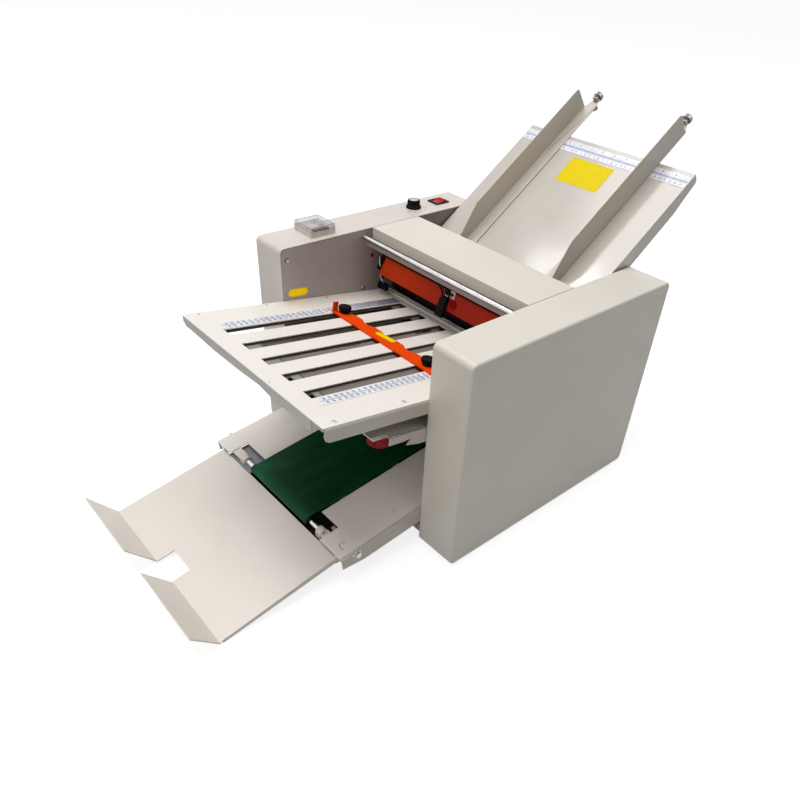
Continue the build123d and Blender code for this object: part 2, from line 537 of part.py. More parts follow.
CLAMPS = (-2 * SLOT_PITCH, 2 * SLOT_PITCH)
ABOVE, BELOW = 4.0, 5.0
SHORT_BAR, LONG_BAR = (-117.5, 117.5), (-168.0, 168.0)     # the ends of the bars
BAR_1_ENDS, TAB_1_LONG, TAB_1_HIGH = (-134.0, 117.5), 10.0, 18.0   # the top bar is longer on the right
top_bar = stop_bar(PLATES[1], BAR_1_RUN, BAR_1_ENDS, 1, ABOVE, TAB_1_LONG, TAB_1_HIGH)
save_group("stop_bar_1", top_bar, *[clamp_nut(x) for x in CLAMPS])
save(stop_knob(PLATES[1], CLAMPS[1], BAR_1_RUN, 1, ABOVE, -1.3), "stop_knob_left")
save(stop_knob(PLATES[1], CLAMPS[0], BAR_1_RUN, 1, ABOVE, -1.3), "stop_knob_right")

# The lower plate's bar is longer, with a round hand grip under each end
GRIP_X, GRIP_R, GRIP_HIGH = 152.0, 15.0, 15.5
with BuildPart() as bar_2:
    add(stop_bar(PLATES[2], BAR_2_RUN, LONG_BAR, -1, BELOW))
    grip_top = -BELOW - BAR_THICK
    for x in (-GRIP_X, GRIP_X):
        add(upright(PLATES[2], x, BAR_2_RUN, GRIP_R, grip_top - GRIP_HIGH, grip_top + 0.5))
knobs = [stop_knob(PLATES[2], x, BAR_2_RUN, -1, BELOW, 2.2) for x in CLAMPS]
save_group("stop_bar_2", bar_2.part, *knobs)

for number, side, standoff in ((3, 1, ABOVE), (4, -1, BELOW)):
    knobs = [stop_knob(PLATES[number], x, BAR_REAR_RUN, side, standoff, 2.2) for x in CLAMPS]
    body = stop_bar(PLATES[number], BAR_REAR_RUN, SHORT_BAR, side, standoff)
    save_group(f"stop_bar_{number}", body, *knobs)


# Pins in the side frames: hood pivots, plate rests and extension tray pivots
def pin(y, z, side, inner, outer):
    """One pin along X between two distances from the middle plane."""
    return across(y, z, PIN_R, *sorted((side * inner, side * outer)))


def plate_rest(number, run, side):
    """A pin under a fold plate's flange."""
    skirt = FRONT_SKIRT if number in FRONT_PLATES else REAR_SKIRT
    point = PLATES[number].from_local_coords(Vector(0, run, TOP_HIGH - skirt - PIN_R - 0.1))
    return pin(point.Y, point.Z, side, 178.0, BOX_INNER - 0.05)


SIDES = (-1, 1)
pins = [pin(HOOD_PIVOT_Y, HOOD_PIVOT_Z, side, 178.0, BOX_INNER - 0.1) for side in SIDES]
pins += [pin(PIVOT_Y, PIVOT_Z, side, 161.0, TABLE_HALF - SHEET - 0.1) for side in SIDES]
for number, near, far in ((1, 40, 215), (2, 40, 215), (3, 30, 160), (4, 30, 160)):
    pins += [plate_rest(number, run, side) for run in (near, far) for side in SIDES]
save_group("frame_pins", *pins)

# Hood over the rollers: a folded lid with two ears that turn on the pivot pins
with BuildPart() as hood:
    lid = [(HOOD_FRONT, BOX_TOP - HOOD_LIP), (HOOD_FRONT, BOX_TOP), (HOOD_BACK, BOX_TOP),
           (HOOD_BACK, BOX_TOP - 12)]
    add(bent_sheet(Plane.YZ.offset(-TABLE_HALF), lid, 2 * TABLE_HALF))
    ear = [(HOOD_FRONT + 0.5, BOX_TOP - 1), (HOOD_FRONT + 0.5, BOX_TOP - 15), (120, BOX_TOP - 15),
           (134, BOX_TOP - 21), (HOOD_BACK - 2, BOX_TOP - 21), (HOOD_BACK - 0.5, BOX_TOP - 1)]
    for x in (-TABLE_HALF, TABLE_HALF - SHEET):
        add(prism(Plane.YZ.offset(x), ear, SHEET))
    add(across(HOOD_PIVOT_Y, HOOD_PIVOT_Z, PIN_R + 0.06, -190, 190), mode=Mode.SUBTRACT)
save(hood.part, "hood")

# Roller guard, its end brackets and the sheet sensor
GUARD_HALF, BRACKET_THICK = 170.0, 2.0
guard_line = [(53.0, 282.6), (58.9, 316.0), (96.0, 334.0)]
save(bent_sheet(Plane.YZ.offset(-GUARD_HALF), guard_line, 2 * GUARD_HALF), "roller_guard")
bracket_side = [(56, 268), (66, 268), (74, 318), (98, 328), (98, 334), (64, 321)]
bracket_tab = [(84, 322), (98, 328), (98, 334), (84, 328.5)]


def guard_bracket(side):
    """A side plate beyond the guard's end, with a tab out to the side frame."""
    inner = GUARD_HALF + 1
    outer = inner + BRACKET_THICK
    with BuildPart() as bracket:
        add(prism(Plane.YZ.offset(min(side * inner, side * outer)), bracket_side, BRACKET_THICK))
        tab_low, tab_high = sorted((side * (outer - 1), side * (BOX_INNER - 0.1)))
        add(prism(Plane.YZ.offset(tab_low), bracket_tab, tab_high - tab_low))
    return bracket.part


save_group("guard_brackets", *[guard_bracket(side) for side in SIDES])

# The sensor leans back against the guard, on a plate that reaches right to its screw hole
SENSOR_X, SENSOR_LEAN = 3.0, 18.0
SENSOR_HALF, SENSOR_HIGH, SENSOR_DEEP = 8.0, 30.4, 5.8
sensor_out = (0, -cos(radians(SENSOR_LEAN)), sin(radians(SENSOR_LEAN)))
SENSOR = Plane((SENSOR_X, 40.1, 273.8), x_dir=(1, 0, 0), z_dir=sensor_out)
with BuildPart() as sheet_sensor:
    add(bar(SENSOR, (-SENSOR_HALF, SENSOR_HALF), (0, SENSOR_HIGH), (-SENSOR_DEEP, 0)))
    chamfer(sheet_sensor.edges().group_by(Axis.Z)[0], 1.5)
save(sheet_sensor.part, "sheet_sensor")

(foot_y, foot_z), (bend_y, bend_z) = guard_line[:2]
guard_out = Vector(0, foot_z - bend_z, bend_y - foot_y).normalized()
GUARD_FACE = Plane((0, foot_y, foot_z), x_dir=(1, 0, 0), z_dir=guard_out)
with BuildPart() as sensor_bracket:
    add(bar(GUARD_FACE, (0, 10), (14, 28), (0.05, 1.2)))
    add(bar(GUARD_FACE, (0, 23), (24, 36.5), (0.05, 1.2)))
    add(upright(GUARD_FACE, 14, 30.4, 3.0, -3, 4), mode=Mode.SUBTRACT)
save(sensor_bracket.part, "sensor_bracket")

# The sensor's lead: out of the block's top, along the guard and over its bend, under the hood
CORD_R = 1.4
ROUTE = [(-2, 52.35, 302.1), (-3.6, 54.3, 309.9), (-10.6, 55.3, 317.9), (-28, 55.5, 323.5), (-46, 57, 326.5),
         (-59, 62, 327.5), (-68, 71, 327.5), (-72, 80, 327.8)]


def corner_radii(route):
    """The largest arc that each corner's two runs allow."""
    points = [Vector(*p) for p in route]
    radii = []
    for a, b, c in zip(points, points[1:], points[2:]):
        turn = (b - a).get_angle(c - b)
        radii.append(0.45 * min((b - a).length, (c - b).length) / tan(radians(turn / 2)))
    return radii


RADII = corner_radii(ROUTE)
print("sensor lead radii", [round(r, 1) for r in RADII])
with BuildPart() as sensor_cable:
    with BuildLine() as lead_path:
        FilletPolyline(*ROUTE, radius=RADII)
    lead = lead_path.wires()[0]
    with BuildSketch(Plane(lead @ 0, z_dir=lead % 0)):
        Circle(CORD_R)
    sweep()
print("sensor lead length", round(lead.length, 1))
save(sensor_cable.part, "sensor_cable")

# Delivery table: two side panels, and between them the belt over its bed
NOTCH_BACK = TABLE.to_local_coords(Vector(0, -257.5, 54.0)).Y
NOTCH_X = {-1: 142.0, 1: 126.0}              # outer edges of the left and right notches
TABLE_RUN = (TABLE_BACK - TABLE_FRONT) / cos(radians(TABLE_ANGLE))
TABLE_SKIRT = 29.0
BOLT_RUN, BOLT_LOW = 28.0, -5.5              # middle of the tension slot, on the table's flange


def delivery_table(side):
    """One side panel with a notch for the roller end and a flange down its outer edge."""
    inner, notch_x = BELT_HALF + 1.5, NOTCH_X[side]
    outline = [(inner, TABLE_RUN), (TABLE_HALF, TABLE_RUN), (TABLE_HALF, 0), (notch_x, 0),
               (notch_x, NOTCH_BACK), (inner, NOTCH_BACK)]
    skirt = [(0, 0), (0, -19), (40, -26.5), (TABLE_RUN, -TABLE_SKIRT), (TABLE_RUN, 0)]
    slot_run, slot_high = (BOLT_RUN - 8, BOLT_RUN + 8), (BOLT_LOW - 2, BOLT_LOW + 2)
    with BuildPart() as table:
        add(prism(TABLE.offset(-SHEET), [(side * x, y) for x, y in outline], SHEET))
        add(prism(side_of(TABLE, min(side * TABLE_HALF, side * (TABLE_HALF - SHEET))), skirt, SHEET))
        add(bar(TABLE, sorted((side * 175, side * 190)), slot_run, slot_high), mode=Mode.SUBTRACT)
    return table.part


save(delivery_table(-1), "delivery_table_left")
save(delivery_table(1), "delivery_table_right")

# The bed is a flat sheet on three cross bars
bed_half = BELT_HALF - 2
bed_high = BELT_ROLLER_R - 0.6
bed_end = (DRIVE_Y - NOSE_Y) / cos(radians(TABLE_ANGLE)) - 16
BED_BAR_RUNS, BED_BAR_WIDE, BED_BAR_HALF = (60, 170, 300), 12, TABLE_HALF - 1.7
with BuildPart() as belt_bed:
    add(bar(BELT_LINE, (-bed_half, bed_half), (16, bed_end), (bed_high - SHEET, bed_high)))
    for run in BED_BAR_RUNS:
        add(bar(BELT_LINE, (-BED_BAR_HALF, BED_BAR_HALF), (run, run + BED_BAR_WIDE), (-0.5, 2.7)))
        for x in (-60, 60):
            add(bar(BELT_LINE, (x - 2, x + 2), (run, run + BED_BAR_WIDE), (2, bed_high - 1)))
save(belt_bed.part, "belt_bed")
belt_inner_r = BELT_ROLLER_R + 0.4
save(loop((NOSE_Y, NOSE_Z), belt_inner_r, (DRIVE_Y, DRIVE_Z), belt_inner_r, BELT_THICK, -BELT_HALF, BELT_HALF),
     "delivery_belt")


# Bearing clips that carry the front roller's shaft, and their tension bolts
CLIP_X, CLIP_R = (106.0, 118.0), 7.6


def bearing_clip(side):
    """A clip: an arch round the shaft's end and a tongue out to the table."""
    with BuildPart() as clip:
        with BuildSketch(Plane.YZ.offset(min(side * x for x in CLIP_X))):
            with Locations((NOSE_Y, NOSE_Z)):
                Circle(CLIP_R)
            with Locations((NOSE_Y, NOSE_Z - 4.5)):
                Rectangle(2 * CLIP_R, 9)
        extrude(amount=CLIP_X[1] - CLIP_X[0])
        tongue_x = sorted((side * (CLIP_X[1] - 1), side * (NOTCH_X[side] + 6)))
        add(bar(TABLE, tongue_x, (6, 22), (-SHEET - 1.9, -SHEET - 0.1)))
        add(across(NOSE_Y, NOSE_Z, NOSE_SHAFT_R + 0.06, *sorted((side * 105, side * 120))), mode=Mode.SUBTRACT)
    return clip.part


save_group("bearing_clips", bearing_clip(-1), bearing_clip(1))


def tension_bolt(side):
    """A hexagon bolt with its washer on the table's flange."""
    seat = TABLE.from_local_coords(Vector(side * TABLE_HALF, BOLT_RUN, BOLT_LOW))
    plane = Plane(seat, x_dir=TABLE.y_dir, z_dir=(side, 0, 0))
    with BuildPart() as bolt:
        with BuildSketch(plane):
            Circle(6.0)
        extrude(amount=1.0)
        with BuildSketch(plane.offset(1.0)):
            RegularPolygon(5.2, 6)
        extrude(amount=3.6)
        with BuildSketch(plane):
            Circle(1.9)
        extrude(amount=-9.0)
    return bolt.part


save_group("tension_bolts", tension_bolt(-1), tension_bolt(1))

# Extension tray, hinged under the delivery table, with two flared lips at its front
apron_back = (APRON_BACK - BEND_Y) / cos(radians(APRON_ANGLE))
flare_tip = APRON.to_local_coords(Vector(0, FLARE_Y, FLARE_Z))
LIP_INNER, LIP_OUTER, LIP_TIP = 27.7, 166.7, 173.0
NOTCH_HALF, NOTCH_RUN, PIVOT_EAR_R = 25.5, 30.0, 6.0
with BuildPart() as extension_tray:
    add(bar(APRON, (-APRON_HALF, APRON_HALF), (0, apron_back), (-SHEET, 0)))
    add(bar(APRON, (-NOTCH_HALF, NOTCH_HALF), (-5, NOTCH_RUN), (-5, 5)), mode=Mode.SUBTRACT)
    for side in SIDES:
        lip_line = [(flare_tip.Y, flare_tip.Z), (0, 0), (2.5, 0)]
        low, high = sorted((side * LIP_INNER, side * LIP_TIP))
        add(bent_sheet(side_of(APRON, low), lip_line, high - low))
        slant = [(LIP_OUTER, 2.6), (LIP_TIP, flare_tip.Y), (LIP_TIP, flare_tip.Y - 3), (190, flare_tip.Y - 3),
                 (190, 5), (APRON_HALF, 5), (APRON_HALF, 0)]
        add(prism(APRON.offset(-20), [(side * x, y) for x, y in slant], 90), mode=Mode.SUBTRACT)
        skirt = [(4, -0.5), (4, -5.6), (apron_back, -10), (apron_back + 11, -10), (apron_back + 11, -2),
                 (apron_back, -0.5)]
        skirt_x = min(side * APRON_HALF, side * (APRON_HALF - SHEET))
        add(prism(side_of(APRON, skirt_x), skirt, SHEET))
        add(across(PIVOT_Y, PIVOT_Z, PIVOT_EAR_R, skirt_x, skirt_x + SHEET))
    add(across(PIVOT_Y, PIVOT_Z, PIN_R + 0.06, -190, 190), mode=Mode.SUBTRACT)
save(extension_tray.part, "extension_tray")

# Controls on the left box
COUNTER_X, COUNTER_WIDE, COUNTER_HIGH = 51.0, 49.0, 9.0
with BuildPart() as counter_body:
    with Locations((CONTROL_X, COUNTER_Y, BOX_TOP + COUNTER_HIGH / 2)):
        Box(COUNTER_X, COUNTER_WIDE, COUNTER_HIGH)
    with Locations((CONTROL_X, COUNTER_Y, BOX_TOP - 9)):
        Box(39, 37, 22)
    with Locations((CONTROL_X, COUNTER_Y - 10, BOX_TOP + COUNTER_HIGH + 1)):
        Box(38, 16, 2)
    with Locations((CONTROL_X, KEY_Y, BOX_TOP + COUNTER_HIGH)):
        Cylinder(5.3, 8, mode=Mode.SUBTRACT)
save(counter_body.part, "counter_body")

COVER_LOW, COVER_HIGH, COVER_WALL = BOX_TOP + COUNTER_HIGH + 0.1, 8.3, 1.2
with BuildPart() as counter_cover:
    with Locations((CONTROL_X, COUNTER_Y, COVER_LOW + COVER_HIGH / 2)):
        Box(COUNTER_X, COUNTER_WIDE, COVER_HIGH)
    top_edges = counter_cover.edges().group_by(Axis.Z)[-1]
    fillet(top_edges, radius=2.0)
    underside = counter_cover.faces().sort_by(Axis.Z)[0]
    offset(amount=-COVER_WALL, openings=underside)
save(counter_cover.part, "counter_cover")
save(upright(Plane.XY, CONTROL_X, KEY_Y, 5.0, BOX_TOP + 7.0, BOX_TOP + 12.5), "counter_key")

with BuildPart() as speed_knob:
    for height, radius, high, taper in ((0.6, 14.5, 2.5, 0), (3.0, 12.2, 12.5, 3)):
        with BuildSketch(Plane.XY.offset(BOX_TOP + height)):
            with Locations((CONTROL_X, KNOB_Y)):
                Circle(radius)
        extrude(amount=high, taper=taper)
    add(upright(Plane.XY, CONTROL_X, KNOB_Y, 3.0, BOX_TOP - 12, BOX_TOP + 1))
save(speed_knob.part, "speed_knob")

ROCK, ROCKER_HALF = 9.0, 8.7                 # the rocker's tilt at rest, and half its width
with BuildPart() as switch_bezel:
    with Locations((CONTROL_X, SWITCH_Y, BOX_TOP + 1.2)):
        Box(27, 32, 2.4)
    with Locations((CONTROL_X, SWITCH_Y, BOX_TOP - 11)):
        Box(21, 25, 22)
    with Locations((CONTROL_X, SWITCH_Y, BOX_TOP)):
        Box(2 * ROCKER_HALF + 1, 22.4, 16, mode=Mode.SUBTRACT)
save(switch_bezel.part, "switch_bezel")

tilted = (0, cos(radians(ROCK)), sin(radians(ROCK)))
rocker_plane = Plane((CONTROL_X - ROCKER_HALF, SWITCH_Y, BOX_TOP - 1.5), x_dir=tilted, z_dir=(1, 0, 0))
rocker = [(-10, 2.5), (-9.6, 4.6), (0, 3.2), (9.6, 4.6), (10, 2.5), (6, -3), (-6, -3)]
save(prism(rocker_plane, rocker, 2 * ROCKER_HALF), "rocker_switch")

with BuildPart() as power_inlet:
    with Locations((CONTROL_X, BOX_REAR + 0.9, INLET_Z)):
        Box(34, 1.8, 26)
    with Locations((CONTROL_X, BOX_REAR - 10, INLET_Z)):
        Box(27.4, 20, 19.4)
    with Locations((CONTROL_X, BOX_REAR - 4, INLET_Z)):
        Box(22, 17, 14, mode=Mode.SUBTRACT)
    for x, z in ((-7, INLET_Z - 2), (7, INLET_Z - 2), (0, INLET_Z + 2)):
        with Locations((CONTROL_X + x, BOX_REAR - 6, z)):
            Box(2, 13, 4)
save(power_inlet.part, "power_inlet")

# The control board stands on four pillars on the left frame, with three blocks for its parts
BOARD_X, BOARD_THICK, BLOCK_HIGH = FRAME_OUTER + 9.0, 1.6, 14.0
with BuildPart() as control_board:
    with Locations((-BOARD_X, 120, 190)):
        Box(BOARD_THICK, 90, 120)
    for y, z in ((90, 145), (150, 145), (90, 235), (150, 235)):
        with Locations((-(FRAME_OUTER + BOARD_X - BOARD_THICK / 2) / 2, y, z)):
            Cylinder(3, BOARD_X - FRAME_OUTER - BOARD_THICK / 2, rotation=(0, 90, 0))
    for y, z, size in ((100, 170, 24), (140, 165, 18), (125, 215, 30)):
        with Locations((-BOARD_X - (BOARD_THICK + BLOCK_HIGH) / 2 + 0.1, y, z)):
            Box(BLOCK_HIGH, size, size)
save(control_board.part, "control_board")

print("nodes", len([name for name in os.listdir("parts") if name.endswith(".step")]))
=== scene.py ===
# %% [markdown]
# # Paper folding machine
# A desk-top folder takes sheets from the sloping tray behind, buckles them between rollers and
# slotted plates, and lays them on a belt in front. The CAD model already holds every sheet-metal
# form, so this lesson loads it as a fixed frame and adds what a drawing leaves out: finishes,
# print, knurls, springs, screws and light. Lengths are written in millimetres and turned into
# metres once, when a mesh is made.

# %% Load the frame
import bmesh
import bpy
import json
import math
import numpy as np
from mathutils import Matrix

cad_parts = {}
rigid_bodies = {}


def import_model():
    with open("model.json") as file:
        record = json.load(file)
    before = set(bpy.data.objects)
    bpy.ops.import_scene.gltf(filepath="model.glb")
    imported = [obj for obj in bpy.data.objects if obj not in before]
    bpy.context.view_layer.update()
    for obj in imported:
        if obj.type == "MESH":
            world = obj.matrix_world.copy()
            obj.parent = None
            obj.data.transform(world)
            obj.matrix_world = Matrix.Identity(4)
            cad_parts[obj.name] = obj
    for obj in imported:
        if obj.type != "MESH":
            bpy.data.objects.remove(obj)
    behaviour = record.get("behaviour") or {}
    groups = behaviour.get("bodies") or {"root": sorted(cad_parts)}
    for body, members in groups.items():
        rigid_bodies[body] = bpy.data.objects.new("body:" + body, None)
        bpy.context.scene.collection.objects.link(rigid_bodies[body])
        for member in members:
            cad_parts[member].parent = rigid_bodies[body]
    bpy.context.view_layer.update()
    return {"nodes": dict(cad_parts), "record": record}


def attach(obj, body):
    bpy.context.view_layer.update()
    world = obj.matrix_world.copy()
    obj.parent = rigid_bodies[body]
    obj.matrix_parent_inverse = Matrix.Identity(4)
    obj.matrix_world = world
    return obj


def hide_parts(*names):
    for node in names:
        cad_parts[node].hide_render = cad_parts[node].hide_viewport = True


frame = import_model()
MM = 0.001

# %% [markdown]
# ## Sheets to measure from
# Nearly everything on the machine sits on a tilted sheet: the feed tray, the top fold plate and
# the delivery table. A point is easiest to say as across, along and above such a sheet, so each
# sheet gets a small function that turns those three numbers into model coordinates, and a level
# one stands for the machine's own axes. The slopes are the same driving sizes that the CAD part is
# built from.

# %% A frame of reference for each sheet
def tilted(origin, along, above):
    """Returns place(x, run, high) = origin + x * X + run * along + high * above, in mm."""
    origin, along, above = (np.array(v, float) for v in (origin, along, above))
    across = np.array((1.0, 0.0, 0.0))

    def place(x, run, high):
        x, run, high = np.broadcast_arrays(*(np.asarray(v, float) for v in (x, run, high)))
        return origin + x[..., None] * across + run[..., None] * along + high[..., None] * above

    place.along, place.above, place.across = along, above, across
    return place


def slope(degrees, towards):
    """The two unit vectors of a sheet that climbs by that angle while Y goes towards +1 or -1."""
    s, c = math.sin(math.radians(degrees)), math.cos(math.radians(degrees))
    return (0, towards * c, s), (0, -towards * s, c)


TRAY = tilted((0, 255.1, 363.8), *slope(34.58, 1))
PLATE = tilted((0, 91, 237), *slope(8.65, -1))
TABLE = tilted((0, -293.5, 50.5), *slope(7.33, 1))
LEVEL = tilted((0, 0, 0), (0, 1, 0), (0, 0, 1))
print("tray lip at", TRAY(0, 225, 0).round(1), "plate lip at", PLATE(0, 415, 0).round(1))

# %% [markdown]
# ## Camera
# A camera is a position, two angles of aim, a small roll and a lens. The lens of 31 mm on a
# 36 mm sensor sees about 60 degrees, a normal view from an arm's length away. The little shift
# moves the frame without turning the camera, so upright edges keep their slant.

# %% Place the camera
CAMERA_AT = (0.7632, -0.70673, 0.81172)
AZIMUTH, ELEVATION, ROLL = (math.radians(a) for a in (45.397, 37.745, 4.531))
LENS_IN_WIDTHS = 0.87284
SHIFT = (-0.0350, 0.0638)
SENSOR = 36.0

back = np.array((math.sin(AZIMUTH) * math.cos(ELEVATION),
                 -math.cos(AZIMUTH) * math.cos(ELEVATION),
                 math.sin(ELEVATION)))
level_right = np.cross((0, 0, 1), back)
level_right /= np.linalg.norm(level_right)
level_up = np.cross(back, level_right)
right = math.cos(ROLL) * level_right + math.sin(ROLL) * level_up
up = math.cos(ROLL) * level_up - math.sin(ROLL) * level_right

camera_data = bpy.data.cameras.new("studio_camera")
camera_data.sensor_width = SENSOR
camera_data.lens = SENSOR * LENS_IN_WIDTHS
camera_data.shift_x, camera_data.shift_y = SHIFT
camera = bpy.data.objects.new("studio_camera", camera_data)
bpy.context.collection.objects.link(camera)
turn = Matrix(np.stack([right, up, back], axis=1).tolist()).to_4x4()
camera.matrix_world = Matrix.Translation(CAMERA_AT) @ turn
bpy.context.scene.camera = camera
print("lens", round(camera_data.lens, 2), "mm")

# %% [markdown]
# ## Finishes
# A material here is a short chain of nodes: a noise read in object coordinates, a colour ramp, a
# roughness range and a bump. The helpers below only save typing: one adds a node and fills or
# links its inputs by name, one makes a colour ramp, and one turns a height into a bump.

# %% Node helpers
def chip(red, green, blue):
    """A colour as a paint chip reads on a screen, 0 to 255, turned into the linear light value."""
    c = np.array((red, green, blue)) / 255.0
    linear = np.where(c <= 0.04045, c / 12.92, ((c + 0.055) / 1.055) ** 2.4)
    return (*linear.round(4).tolist(), 1.0)


def shade(colour, factor):
    """The same colour with its light multiplied by factor."""
    return (*(min(1.0, c * factor) for c in colour[:3]), 1.0)


def fill(tree, socket, value):
    """Sets a shader input to a value, or links it where the value is another node's output."""
    if isinstance(value, bpy.types.NodeSocket):
        tree.links.new(value, socket)
    else:
        socket.default_value = value


def node(tree, kind, **values):
    """Adds a shader node; each value fills the input of that name, or is linked if a socket."""
    made = tree.nodes.new("ShaderNode" + kind)
    for name, value in values.items():
        fill(tree, made.inputs[name.replace("_", " ")], value)
    return made


def noise(tree, point, size, detail=3.0, rough=0.5):
    """A noise whose blobs are about size mm across, read at point; its value is 0 to 1."""
    return node(tree, "TexNoise", Vector=point, Scale=1000.0 / size, Detail=detail,
                Roughness=rough).outputs["Fac"]


def ramp(tree, fac, *stops):
    """A colour ramp with (position, colour) stops."""
    made = node(tree, "ValToRGB", Fac=fac)
    elements = made.color_ramp.elements
    while len(elements) < len(stops):
        elements.new(0.5)
    for element, (position, colour) in zip(elements, stops):
        element.position, element.color = position, colour
    return made.outputs["Color"]


def span(tree, value, low, high, new_low, new_high):
    """value between low and high becomes new_low to new_high, held at the ends."""
    return node(tree, "MapRange", Value=value, From_Min=low, From_Max=high,
                To_Min=new_low, To_Max=new_high).outputs["Result"]


def bumped(tree, height, depth, strength=1.0):
    """A bump normal; depth is what a height of 1 stands for, in mm."""
    return node(tree, "Bump", Height=height, Distance=depth * MM, Strength=strength).outputs["Normal"]


def mixed(tree, fac, first, second):
    """The colour mix of first and second by fac."""
    made = tree.nodes.new("ShaderNodeMix")
    made.data_type = "RGBA"
    for number_of_input, value in ((0, fac), (6, first), (7, second)):
        fill(tree, made.inputs[number_of_input], value)
    return made.outputs[2]


def calc(tree, operation, first, second=0.5):
    """One step of arithmetic on two values or sockets."""
    made = tree.nodes.new("ShaderNodeMath")
    made.operation = operation
    for socket, value in zip(made.inputs, (first, second)):
        fill(tree, socket, value)
    return made.outputs[0]


def material(name, **values):
    """A new material and its tree, shader and object coordinates; values fill shader sockets."""
    made = bpy.data.materials.new(name)
    made.use_nodes = True
    tree = made.node_tree
    shader = tree.nodes["Principled BSDF"]
    for socket, value in values.items():
        shader.inputs[socket.replace("_", " ")].default_value = value
    point = tree.nodes.new("ShaderNodeTexCoord").outputs["Object"]
    return made, tree, shader, point


def overlay(made, colour, mask):
    """Lays a colour over a finish where mask(tree, axes) is 1; axes are the coordinates in metres."""
    tree = made.node_tree
    socket = tree.nodes["Principled BSDF"].inputs["Base Color"]
    point = tree.nodes.new("ShaderNodeTexCoord").outputs["Object"]
    axes = node(tree, "SeparateXYZ", Vector=point).outputs
    tree.links.new(mixed(tree, mask(tree, axes), socket.links[0].from_socket, colour), socket)


def over_sheet(tree, axes, place):
    """The height of a point above a sheet in metres, from the sheet's own upward direction."""
    start = float(place(0, 0, 0) @ place.above) * MM
    lift = calc(tree, "ADD", calc(tree, "MULTIPLY", axes["Y"], float(place.above[1])),
                calc(tree, "MULTIPLY", axes["Z"], float(place.above[2])))
    return calc(tree, "SUBTRACT", lift, start)


def fade(letter, start, end, most=1.0):
    """A mask that grows from 0 to most between two places on an axis, in metres."""
    return lambda tree, axes: span(tree, axes[letter], start, end, 0.0, most)


def rise(start, end):
    """A mask that grows from 0 to 1 between two heights over the top plate, in metres."""
    return lambda tree, axes: span(tree, over_sheet(tree, axes, PLATE), start, end, 0.0, 1.0)


def both(first, second):
    """A mask that holds only where two masks meet: their product."""
    return lambda tree, axes: calc(tree, "MULTIPLY", first(tree, axes), second(tree, axes))


print("node helpers ready")

# %% [markdown]
# ### Powder coat
# The covers and plates are steel sheet under a baked powder coat. Powder melts into a skin with a
# fine orange peel about a millimetre across, and handling leaves it slightly uneven in gloss. A
# second, coarse noise mottles the colour by a percent or two, which the eye reads as a real sheet
# rather than a flat fill. Sparse fine scratches lighten the coat where paper and hands slide.

# %% Powder-coat finishes
def powder_coat(name, colour, gloss=(0.34, 0.46), peel=0.05, dust=0.0, specular=0.5):
    """Mottled colour, uneven gloss and an orange-peel bump, with a few hair scratches."""
    made, tree, shader, point = material(name, Specular_IOR_Level=specular)
    mottle = noise(tree, point, 160, 4.0)
    base = ramp(tree, mottle, (0.30, shade(colour, 0.965)), (0.70, shade(colour, 1.02)))
    stretch = node(tree, "Mapping", Vector=point, Scale=(1.0, 0.06, 0.3), Rotation=(0.2, 0.1, 0.5))
    scratch = noise(tree, stretch.outputs["Vector"], 1.6, 2.0)
    mark = span(tree, scratch, 0.69, 0.74, 0.0, 0.35)
    patchy = span(tree, noise(tree, point, 60, 2.0), 0.50, 0.66, 0.0, 1.0)
    mark = calc(tree, "MULTIPLY", mark, patchy)
    base = mixed(tree, mark, base, shade(colour, 1.10))
    if dust:
        grime = span(tree, noise(tree, point, 34, 5.0, 0.62), 0.48, 0.72, 0.0, dust)
        base = mixed(tree, grime, base, shade(colour, 0.72))
    tree.links.new(base, shader.inputs["Base Color"])
    smudge = noise(tree, point, 24, 5.0, 0.6)
    tree.links.new(span(tree, smudge, 0.35, 0.65, *gloss), shader.inputs["Roughness"])
    skin = noise(tree, point, 1.5, 2.0)
    tree.links.new(bumped(tree, skin, peel), shader.inputs["Normal"])
    return made


COVER_COLOUR = chip(226, 220, 209)
PLATE_COLOUR = chip(244, 238, 230)
INNER_COLOUR = chip(183, 174, 169)
cover_paint = powder_coat("cover_powder_coat", COVER_COLOUR, dust=0.05)
# The plate coat is lighter than the cover coat; on the delivery tables, which are cover paint, this lighter
# coat is painted light.
plate_paint = powder_coat("plate_powder_coat", PLATE_COLOUR, gloss=(0.30, 0.42))
inner_paint = powder_coat("inner_frame_coat", INNER_COLOUR, gloss=(0.42, 0.56), dust=0.3)
# Painted shade: the left cover takes a darker copy of the cover coat.
left_cover_shade_coat = powder_coat("left_cover_painted_shade", chip(220, 211, 203), dust=0.05)
# Painted shade: the feed tray takes a darker copy of the cover coat; its low roughness is for the lamp's
# glint.
tray_shade_coat = powder_coat("tray_coat_painted_shade", chip(207, 200, 191), gloss=(0.10, 0.16), peel=0.035,
                         dust=0.05)
# Painted light: the extension tray takes a lighter copy of the cover coat.
apron_light_coat = powder_coat("apron_coat_painted_light", chip(234, 226, 217), dust=0.05)
# Painted shade: the feed guides take a darker copy of the cover coat.
guide_shade_coat = powder_coat("guide_coat_painted_shade", chip(208, 200, 189), gloss=(0.30, 0.42))
# Painted shade: the lower sheet of the top plate is a dark grey, for the shade seen down the slots.
under_sheet_shade_coat = powder_coat("under_sheet_painted_shade", chip(124, 117, 109), gloss=(0.5, 0.62), dust=0.25,
                          specular=0.2)
bar_paint = powder_coat("stop_bar_red", chip(240, 74, 4), gloss=(0.42, 0.54), specular=0.06)
# Painted shade: the guard's base red is a darker copy of the stop bar's red, for the shade under the hood.
guard_light_shade_coat = powder_coat("guard_coat_painted_light_and_shade", chip(172, 40, 18), gloss=(0.42, 0.55), dust=0.35, specular=0.15)
